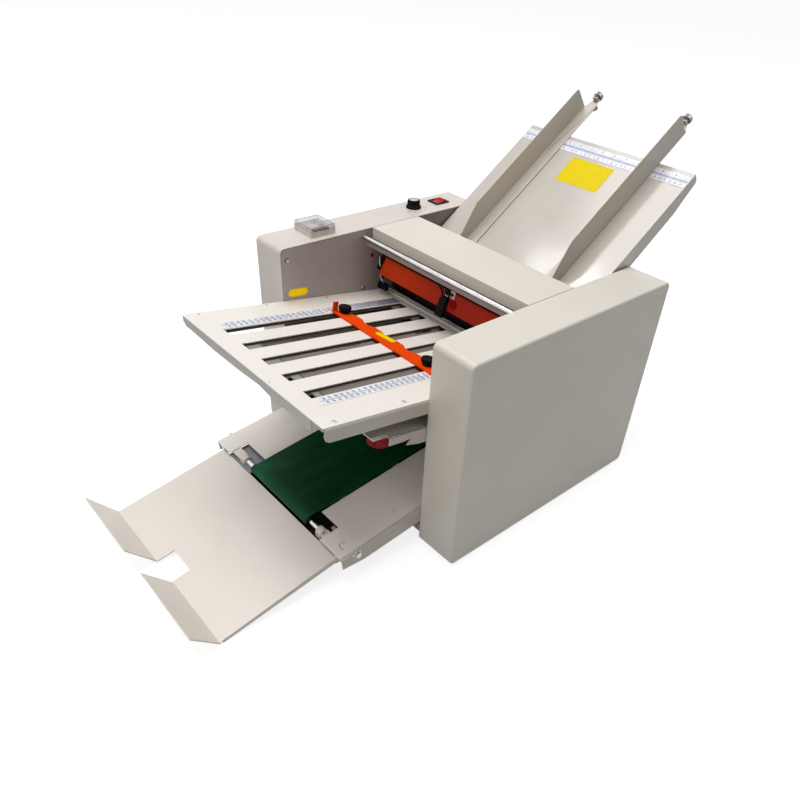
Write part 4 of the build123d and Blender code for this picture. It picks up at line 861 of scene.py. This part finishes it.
amber_ink = moulded("amber_border_ink", chip(196, 150, 20), (0.3, 0.4), 1.0, 0.003)
BORDER_HIGH = 0.27
borders = (("tray_label_border", ring_line(TRAY, *TRAY_LABEL, 1.6, 0.5, BORDER_HIGH)),
           ("frame_label_border", ring_line(on_left_frame, *OVAL_LABEL, 0.9, 0.4, BORDER_HIGH, OVAL_TURN)))
for name, border in borders:
    piece(name, [border], amber_ink, "machine", "scale_white")

# %% [markdown]
# ## Controls on the left box
# The speed knob is a black moulding with grip flutes, a skirt and a silver cap with a pointer
# line. Around it the dial is printed on the cover: eleven ticks over 300 degrees and the plain
# numbers 0 to 10. Ticks that point at the knob are the same thin block, turned by its angle.

# %% Speed knob and dial
DECK, CONTROL_X, DIAL_Y = 365.0, -223.0, 176.5
DIAL = tilted((CONTROL_X, DIAL_Y, DECK), (0, 1, 0), (0, 0, 1))
DIAL_KNOB = [(0, -12), (3, -12), (3, 0.3), (14.0, 0.3), (14.5, 0.8), (14.5, 2.6), (13.9, 3.6), (12.4, 4.4),
             (12.2, 5.2), (11.7, 13.6), (11.2, 14.8), (10.3, 15.4), (9.0, 15.5), (8.8, 15.2), (0, 15.2)]
turned = lathe(DIAL(0, 0, 0), DIAL.above, DIAL_KNOB, 216, 18, 1.1, 10.5)
piece("speed_knob_body", [turned], black_plastic, "speed_knob", "black_plastic", ["speed_knob"])
cap = lathe(DIAL(0, 0, 15.15), DIAL.above, [(0, 0), (8.5, 0), (8.5, 0.2), (8.2, 0.34), (0, 0.34)], 64)
piece("speed_knob_cap", [cap], zinc_metal, "speed_knob", "bright_steel")
pointer = ticks(DIAL, [0], [9.4], [0.55], [1.9], 15.0, 15.46)
piece("speed_knob_pointer", [pointer], tape_white, "speed_knob", "scale_white")

DIAL_MARKS, DIAL_SWEEP, DIAL_TICK_R, DIAL_NUMBER_R = 11, 300, 18.4, 23.4
angles = np.radians(90 + DIAL_SWEEP / 2 - np.arange(DIAL_MARKS) * DIAL_SWEEP / (DIAL_MARKS - 1))
marks = []
for k, angle in enumerate(angles):
    c, s = math.cos(angle), math.sin(angle)
    flat, faces = ticks(LEVEL, [0], [0], [0.35], [1.5], -0.02, 0.03)
    spun = [flat[:, 1] * c + flat[:, 0] * s, flat[:, 1] * s - flat[:, 0] * c, flat[:, 2]]
    marks.append((DIAL(DIAL_TICK_R * c, DIAL_TICK_R * s, 0) + np.stack(spun, axis=1), faces))
    marks += number(DIAL, str(k), DIAL_NUMBER_R * c, DIAL_NUMBER_R * s, 0.03, 3.4, 90)
piece("dial_print", marks, ink, "machine", "cover_paint")

# %% [markdown]
# The rocker switch is translucent red in a black bezel. Its face is two shallow concave slopes
# that meet in a soft ridge, so a finger feels which half is down. The bar and ring for on and off
# are the two generic signs, printed in red beside it.

# %% Rocker and its signs
SWITCH_Y, ROCK, ROCKER_HALF = 240.0, math.radians(9.0), 8.7
ROCKER = tilted((CONTROL_X, SWITCH_Y, DECK - 1.5), (0, math.cos(ROCK), math.sin(ROCK)),
                (0, -math.sin(ROCK), math.cos(ROCK)))
t = np.linspace(-1, 1, 33)
dished = 4.6 - 1.4 * (1 - np.abs(t)) ** 0.8 + 0.25 * np.exp(-(t / 0.08) ** 2)
face = np.stack([9.6 * t, dished], axis=1)
rocker = np.concatenate([[(-6, -3), (-10, 2.5)], face, [(10, 2.5), (6, -3)]])[::-1]
piece("rocker_face", [prism(ROCKER, rocker, -ROCKER_HALF, ROCKER_HALF)], red_plastic, "rocker_switch",
      "switch_red",
      ["rocker_switch"])
sign_place = tilted((CONTROL_X, 0, DECK), (0, 1, 0), (0, 0, 1))
SIGN_RUN = 264.5
signs = [ring_line(sign_place, -5, SIGN_RUN, 2.4, 2.4, 2.4, 0, 0.7, 0.03),
         ticks(sign_place, [5], [SIGN_RUN], [0.4], [2.6], -0.02, 0.03)]
piece("switch_signs", signs, red_ink, "machine", "cover_paint")

# %% [markdown]
# The counter sits under a hinged clear lid. Beneath the lid there is a dark red display with six
# lit digits, three rows of small buttons, and a moulded beige frame. The display's figures are
# plain zeros, because a counter that has just been reset shows nothing else.

# %% Counter face
COUNTER_Y, COUNTER_TOP = -47.0, 374.0
FACE = tilted((CONTROL_X, COUNTER_Y, COUNTER_TOP), (0, 1, 0), (0, 0, 1))
display_red = moulded("display_window", chip(96, 16, 14), (0.10, 0.18), 3.0, 0.004)
digit_lit = moulded("display_digits", chip(170, 54, 40), (0.2, 0.3), 1.0, 0.003)
WINDOW_X = 19.4
window = slab(FACE, WINDOW_X, -2, 4.2, 15.5, 1.0, [(0, -0.4), (0, 2.2), (0.35, 2.4), (0.7, 2.4)])
piece("counter_window", [window], display_red, "machine", "black_plastic")
figures = []
for k in range(6):
    figures += number(FACE, "0", WINDOW_X, -12.5 + 4.2 * k, 2.43, 5.0, 90)
piece("counter_figures", figures, digit_lit, "machine", "switch_red")
buttons = [slab(FACE, -21 + 6 * row, -8 + 7 * k, 1.7, 1.9, 0.6, [(0, -0.4), (0, 2.3), (0.3, 2.7), (0.8, 2.8)])
           for row in range(3) for k in range(4)]
piece("counter_buttons", buttons, grey_plastic, "machine", "key_grey")

# %% [markdown]
# Thick clear plastic looks dark where light runs along its edges, so the lid's rims are drawn as
# thin rods: two square rings, one at the lid's foot and one at its top, and four posts.

# %% Rims of the clear lid
LID_X, LID_RUN, LID_FOOT, LID_TOP = 25.0, 24.0, 0.5, 7.4
rim_grey = moulded("clear_edge", chip(150, 148, 158), (0.1, 0.2), 3.0, 0.004)
corners = np.array([(-1, -1), (1, -1), (1, 1), (-1, 1), (-1, -1)])
rims = []
for inset, high, radius in ((0.0, LID_FOOT, 0.3), (1.0, LID_TOP, 0.4)):
    ring = FACE(corners[:, 0] * (LID_X - inset), corners[:, 1] * (LID_RUN - inset), high)
    rims += [tube(ring[[k, k + 1]], radius, 8) for k in range(4)]
post_x, post_run = np.array((LID_X, LID_X - 1)), np.array((LID_RUN, LID_RUN - 1))
rims += [tube(FACE(x * post_x, y * post_run, np.array((LID_FOOT, LID_TOP))), 0.35, 8) for x, y in corners[:4]]
piece("counter_lid_rims", rims, rim_grey, "counter_cover", "clear_cover")

# %% [markdown]
# ## Screws
# Pan-head screws hold the fold plate's margins and the frames. A head is a dome on a polar grid,
# pushed down where a point lies inside a cross: |u| or |v| under the slot's half width. The
# formula keeps one closed surface, and the recess shades by itself.

# %% Cross-recessed heads
def screw_head(place, x, run, high, radius, rise, turn=20.0, sink=0.55):
    """A dome of that radius and rise over the sheet with a cross recess, on a polar grid."""
    rings, columns = 15, 48
    q = np.linspace(1, 0, rings)[:, None]
    angle = np.linspace(0, 2 * math.pi, columns, endpoint=False)[None, :]
    u, v = q * radius * np.cos(angle), q * radius * np.sin(angle)
    dome = rise * (1 - q ** 2) ** 0.5
    c, s = math.cos(math.radians(turn)), math.sin(math.radians(turn))
    a, b = np.abs(u * c + v * s), np.abs(v * c - u * s)
    arm, slot_half = 0.62 * radius, 0.13 * radius
    inside = ((a < slot_half) & (b < arm)) | ((b < slot_half) & (a < arm))
    dome = dome - inside * rise * sink
    foot = place(x + u[0], run + v[0], np.full(columns, high - 0.3))
    grid = place(x + u, run + v, high + 0.05 + dome + np.zeros_like(u)).reshape(-1, 3)
    base = np.repeat(place(x, run, high - 0.3)[None], columns, axis=0)
    return np.concatenate([base, foot, grid]), grid_faces(rings + 2, columns).tolist()


MARGIN = ((-177.3, 392.3, 10), (-177.3, 273.2, 40), (-177.5, 152.7, 75), (-178.6, 28.8, 5))
margin_screws = [screw_head(PLATE, x, run, PLATE_TOP, 3.0, 1.3, turn) for x, run, turn in MARGIN]
piece("plate_margin_screws", margin_screws, zinc_metal, "machine", "bright_steel")
for name, x in (("plate_screw_front_left", -50.4), ("plate_screw_front_right", 54.4)):
    piece(name, [screw_head(PLATE, x, 410.4, PLATE_TOP, 1.8, 0.7, 30)], zinc_metal, "machine", "bright_steel")

# %% [markdown]
# Countersunk screws lie flush, so what shows is a ring of shadow round a flat head.

# %% Flush screws
def flush_head(place, x, run, high, radius, turn=30.0):
    """A flat head with a cross recess inside a shallow dark ring."""
    points, faces = screw_head(place, x, run, high - 0.1, radius * 0.86, 0.35, turn, 0.9)
    profile = [(radius * 0.90, 0.02), (radius, 0.06), (radius * 1.16, 0.06), (radius * 1.24, 0.0),
               (radius * 0.90, -0.2), (radius * 0.90, 0.02)]
    rim = lathe(place(x, run, high), place.above, profile, 40)
    return [(points, faces), rim]


flush = [part for x, run in ((175.7, 391.8), (173.9, 273.3))
         for part in flush_head(PLATE, x, run, PLATE_TOP, 3.2)]
piece("plate_flush_screws", flush, zinc_metal, "machine", "bright_steel")
frame_screws = [screw_head(on_left_frame, 28, 256, 0, 4.4, 2.2, 25)]
piece("frame_screws_left", frame_screws, turned_metal, "machine", "bright_steel")
BUTTON = [(0, -0.5), (3.6, -0.5), (3.6, 0.9), (3.1, 1.6), (1.6, 2.0), (0, 2.1)]
HOLE = [(0, -0.2), (4.3, -0.2), (4.3, 0.08), (0, 0.09)]
PLUG = [(0, 0), (3.3, 0), (3.3, 0.2), (0, 0.22)]
for name, y, z, profile, finish, slot_name in (
        ("frame_button_red", 47.6, 314, BUTTON, dark_red_plastic, "switch_red"),
        ("frame_hole_left", -129, 344, HOLE, black_plastic, "black_plastic"),
        ("frame_hole_plug", -128.2, 343.3, PLUG, tape_white, "scale_white")):
    piece(name, [lathe(on_left_frame(y, z, 0), (1, 0, 0), profile, 32)], finish, "machine", slot_name)

# %% [markdown]
# ## Sheet sensor and its lead
# A black optical sensor hangs over the plate from a small steel tab. Two bright screws clamp it,
# and a thin lead runs up under the hood. The lead is a cord of a fixed length, so it is a smooth
# NURBS curve steered by the corner points of the route that the CAD tube follows.

# %% Sensor screws, eye and lead
EYE_TILT, EYE_HIGH = math.radians(18.0), 30.4
EYE = tilted((3, 40.1, 273.8), (0, math.sin(EYE_TILT), math.cos(EYE_TILT)),
             (0, -math.cos(EYE_TILT), math.sin(EYE_TILT)))
EYE_LID = tilted(EYE(0, EYE_HIGH, 0), -EYE.above, EYE.along)
HEAD_HIGH = 7.0
lid_screws = [screw_head(EYE_LID, x, 2.9, HEAD_HIGH, radius, 1.1, turn)
              for x, radius, turn in ((0.8, 1.8, 10), (5.6, 2.0, 50))]
piece("sensor_screws", lid_screws, bright_metal, "machine", "bright_steel")
eye = [slab(EYE, 0, 9.5, 7.8, 9.0, 1.0, [(0, -0.4), (0, 0.7), (0.5, 1.2), (1.2, 1.2)]),
       slab(EYE, 0, 24.5, 7.2, 4.4, 1.0, [(0, -0.4), (0, 0.3), (0.3, 0.6), (1.0, 0.6)]),
       slab(EYE_LID, 3.3, 2.9, 4.7, 2.9, 0.6,
            [(0, -0.4), (0, HEAD_HIGH - 0.4), (0.4, HEAD_HIGH), (1.0, HEAD_HIGH)])]
piece("sensor_ribs", eye, black_plastic, "machine", "black_plastic")
GUARD_LEAN, GUARD_HIGH = 5.9, 33.4
GUARD_RISE = math.hypot(GUARD_LEAN, GUARD_HIGH)
GUARD = tilted((0, 53, 282.6), (0, GUARD_LEAN / GUARD_RISE, GUARD_HIGH / GUARD_RISE),
               (0, -GUARD_HIGH / GUARD_RISE, GUARD_LEAN / GUARD_RISE))
dot = lathe(GUARD(22.0, 15.4, 0), GUARD.above, [(0, -0.2), (8.0, -0.2), (8.0, 0.5), (7.4, 0.9), (0, 0.95)],
            40)
piece("guard_plug", [dot], dark_red_plastic, "machine", "switch_red")
NUT_PROFILE = [(0, -0.3), (2.9, -0.3), (2.9, 0.5), (2.5, 0.9), (1.5, 1.0), (1.3, 0.5), (0, 0.5)]
nut = lathe(GUARD(17.0, 30.6, 1.2), GUARD.above, NUT_PROFILE, 6)
piece("bracket_nut", [nut], black_plastic, "machine", "black_plastic")
arm = [slab(GUARD, 5.9, 25.3, 5.9, 11.8, 0.8, [(0, 1.25), (0, 2.2), (0.4, 2.6)])]
piece("bracket_arm", arm, black_plastic, "machine", "black_plastic")

CORD_R = 1.4
ROUTE = ((-2, 52.35, 302.1), (-3.6, 54.3, 309.9), (-10.6, 55.3, 317.9), (-28, 55.5, 323.5), (-46, 57, 326.5),
         (-59, 62, 327.5), (-68, 71, 327.5), (-72, 80, 327.8))
cord_curve = bpy.data.curves.new("sensor_lead", "CURVE")
cord_curve.dimensions = "3D"
spline = cord_curve.splines.new("NURBS")
spline.points.add(len(ROUTE) - 1)
for control, spot in zip(spline.points, ROUTE):
    control.co = (*(c * MM for c in spot), 1)
spline.order_u, spline.use_endpoint_u = 3, True
cord_curve.bevel_depth, cord_curve.bevel_resolution = CORD_R * MM, 4
cord_curve.use_fill_caps = True
spline.resolution_u = 12
cord_curve.materials.append(black_plastic)
lead = bpy.data.objects.new("sensor_lead", cord_curve)
bpy.context.collection.objects.link(lead)
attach(lead, "machine")
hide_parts("sensor_cable")

# %% [markdown]
# A narrow painted bar crosses the machine behind the first rod, and a flat strip lies along the
# rear edge of the plate, where sheets slide in between the rollers.

# %% Cross bar and entry strip
BETWEEN_FRAMES = 184.3
cross = prism(LEVEL, [(33.2, 336.5), (34.8, 336.5), (34.8, 348), (33.2, 348)], -BETWEEN_FRAMES,
              BETWEEN_FRAMES)
piece("cross_bar", [cross], inner_paint, "machine", "frame_paint")
strip = prism(PLATE, [(2.4, 3.0), (17.2, 3.0), (17.2, 4.9), (16.6, 5.3), (3.0, 5.3), (2.4, 4.9)], -176, 176)
piece("entry_strip", [strip], plate_paint, "machine", "cover_paint")

# %% [markdown]
# ## Springs and bracket at the guard's end
# At its left end the red guard is held by a black cheek and two thin tension springs to the side
# frame. A spring is a helix: a circle walked while its axis advances. Its straight tails are more
# points on the same path, so the wire stays one tube.

# %% Guard cheek and springs
def spring_path(start, end, coil_radius, turns, tail=0.22):
    """A helix about the line from start to end with straight tails of that share at both ends."""
    start, end = np.array(start, float), np.array(end, float)
    s = np.linspace(0, 1, turns * 16 + 1)
    axis = (end - start) / np.linalg.norm(end - start)
    side = np.cross(axis, (1, 0, 0))
    side /= np.linalg.norm(side)
    other = np.cross(axis, side)
    fade = np.clip(np.minimum(s, 1 - s) / tail * 3 - 2, 0, 1)
    angle = 2 * math.pi * turns * s
    ring = coil_radius * (np.cos(angle)[:, None] * side + np.sin(angle)[:, None] * other)
    return start + s[:, None] * (end - start) + fade[:, None] * ring


springs = [tube(spring_path(GUARD(-172, 31, 3.6), GUARD(-166, 15, 3.6), 1.5, 8), 0.5, 8),
           tube(spring_path((-171, 56, 280), (-163, 57, 266), 1.5, 7), 0.5, 8)]
piece("guard_springs", springs, bright_metal, "machine", "bright_steel")
cheek = [slab(GUARD, -167.5, 21.5, 4.6, 14.5, 1.5, [(0, 0.15), (0, 1.4), (0.4, 1.8)], -22)]
cheek.append(prism(LEVEL, [(52, 256), (52, 264), (54, 266.5), (60, 267), (60, 256)], -172, -150))
piece("guard_cheek_left", cheek, black_plastic, "machine", "black_plastic")

# %% [markdown]
# ## The belt's front end
# Chrome sleeves run from the belt to the cream bearing clips, and a black ring closes each end of
# the roller. Under the left notch lies a grey steel bracket with a square hole and a dull pad,
# under the right one a black pocket. A black closing strip hangs below the nose, so no light comes
# up from the floor.

# %% Sleeves, rings, brackets and closing strip
NOSE_AT, SLEEVE_R = (0.0, -279.2, 48.0), 4.0
SLEEVE = [(3.55, 81.7), (SLEEVE_R, 81.7), (SLEEVE_R, 105.8), (3.55, 105.8), (3.55, 81.7)]
RING = [(3.7, 80.2), (7.6, 80.2), (8.0, 80.6), (8.0, 81.9), (7.4, 82.5), (4.4, 82.5), (3.7, 82.0),
        (3.7, 80.2)]
sleeves = [lathe(NOSE_AT, (sign, 0, 0), SLEEVE, 40) for sign in (-1, 1)]
rings = [lathe(NOSE_AT, (sign, 0, 0), RING, 48) for sign in (-1, 1)]
piece("nose_sleeves", sleeves, bright_metal, "belt_front_roller", "bright_steel")
piece("nose_rings", rings, black_plastic, "belt_front_roller", "black_plastic")

bracket_steel = powder_coat("blued_sheet", chip(128, 132, 138), gloss=(0.3, 0.42), dust=0.3)
brass_dull = powder_coat("dull_pad", chip(150, 142, 112), gloss=(0.4, 0.5))
for name, spot, levels, finish, slot_name in (
        ("notch_bracket", (-114, 26, 33.0, 25.5, 0.6), [(0, -9.0), (0, -7.6), (0.2, -7.4)],
         bracket_steel, "sheet_steel"),
        ("notch_bracket_hole", (-134, 18, 3.4, 3.4, 0.3), [(0, -7.6), (0, -7.36)], black_plastic,
         "black_plastic"),
        ("notch_bracket_pad", (-111, 28.5, 3.6, 3.6, 0.3), [(0, -7.6), (0, -7.3)], brass_dull,
         "bush_bronze"),
        ("notch_pocket", (105, 28, 27.0, 27.5, 0.6), [(0, -13.0), (0, -12.0), (0.2, -11.8)],
         black_plastic, "black_plastic"),
        ("notch_block", (120.5, 31, 3.6, 3.0, 0.4), [(0, -6.0), (0, -1.6), (0.3, -1.3)], zinc_metal,
         "sheet_steel")):
    piece(name, [slab(TABLE, *spot, levels)], finish, "machine", slot_name)
closing = prism(LEVEL, [(-289, 26), (-262, 29.2), (-262, 30.2), (-289, 27)], -162, 162)
piece("nose_cover", [closing], black_plastic, "machine", "black_plastic")

# %% [markdown]
# The right table carries small marks: a half-round lance, drawn as a thin dark arc just under a
# millimetre wide with a foot, and a short dash.

# %% Lance and dash on the table
def arc_line(place, x, run, radius, start, end, half, high, count=24):
    """A flat arc of that radius between two angles in degrees, half wide to each side."""
    angle = np.radians(np.linspace(start, end, count))
    rings = [place(x + r * np.cos(angle), run + r * np.sin(angle), high)
             for r in (radius - half, radius + half)]
    return np.concatenate(rings), grid_faces(2, count, closed=False).tolist()


shadow_ink = moulded("seam_shadow", chip(96, 88, 80), (0.6, 0.7), 1.0, 0.003)
lance = [arc_line(TABLE, 160.5, 20.5, 6.4, 120, 242, 0.45, 0.05),
         ticks(TABLE, [162.5], [14.6], [5.2], [0.4], -0.02, 0.06),
         ticks(TABLE, [158], [121], [0.5], [1.4], -0.02, 0.06)]
piece("table_marks", lance, shadow_ink, "machine", "cover_paint")

# %% [markdown]
# ## Hand grips of the lower stop bar
# A ribbed grip hangs under each end of the long bar. Thirty cosine teeth round the profile make
# the ribs, and a rounded rim closes it below.

# %% Ribbed grips
PLATE_2 = tilted((0, 91, 187.9), *slope(8.65, -1))
GRIP_PROFILE = [(0, -24.2), (11.5, -24.2), (14.2, -23.8), (15.9, -22.6), (16.6, -21.0), (16.6, -9.4),
                (16.2, -8.2),
                (15.4, -7.7), (0, -7.65)]
# The grips' dark red is painted shade.
grips = [lathe(PLATE_2(x, 296, 0), PLATE_2.above, GRIP_PROFILE, 240, 30, 1.1, 15.95) for x in (-152, 152)]
piece("lower_bar_grips", grips, grip_shade_coat, "stop_bar_2", "bar_red")
plate_2_screws = [screw_head(PLATE_2, 178.5, run, PLATE_TOP, 2.6, 0.9, turn)
                  for run, turn in ((294, 20), (284.5, 60))]
piece("lower_plate_screws", plate_2_screws, zinc_metal, "machine", "bright_steel")

# %% [markdown]
# Through the slots of the top plate the lower sheet shows its joints: a thin seam across three
# slots, a lighter block in four, and a dark backing under two. Each is a thin plate. The blocks'
# grey is set darker as painted shade, and the black backing is painted shade for the dark seen
# down those two slots.

# %% Seams and blocks in the slots
SLOT_FLOOR, SLOT_HALF = -1.75, 9.4
seams = [ticks(PLATE, [0, 52.25, 104.5], [353, 354, 358], [9.5], [0.5], SLOT_FLOOR - 0.1, SLOT_FLOOR + 0.12)]
piece("slot_seams", seams, black_plastic, "machine", "black_plastic")
BLOCK_LEVELS = [(0, SLOT_FLOOR - 0.1), (0, SLOT_FLOOR + 0.1), (0.1, SLOT_FLOOR + 0.15)]
blocks = [slab(PLATE, x, run, SLOT_HALF, half, 0.5, BLOCK_LEVELS)
          for x, run, half in ((-52.25, 367, 11.5), (0, 367, 12.5), (52.25, 362.5, 6.0), (104.5, 364.4, 4.6))]
# Painted shade: the blocks' grey is darker, for the shade in the slots.
block_paint = powder_coat("slot_block_coat", chip(150, 147, 141), gloss=(0.5, 0.6), dust=0.2, specular=0.2)
piece("slot_blocks", blocks, block_paint, "machine", "key_grey")
# Painted shade: black backing plates for the dark seen through the holes under two slots.
backing = [slab(PLATE, x, 375, SLOT_HALF, 8.0, 0.5, [(0, -6.2), (0, -5.4), (0.1, -5.3)])
           for x in (49.75, 102.5)]
piece("slot_backing", backing, black_plastic, "machine", "black_plastic")

# %% [markdown]
# A hair of shadow crosses the left guide's flange, where a stiffening crease was pressed in.

# %% Crease in the left guide's flange
crease = np.array([(-86.2, 299), (-96.3, 237.5), (-100, 211), (-104.4, 180)])
piece("guide_crease", [tube(TRAY(*crease.T, 2.2), 0.4, 8)], shadow_ink, "feed_guide_left", "cover_paint")
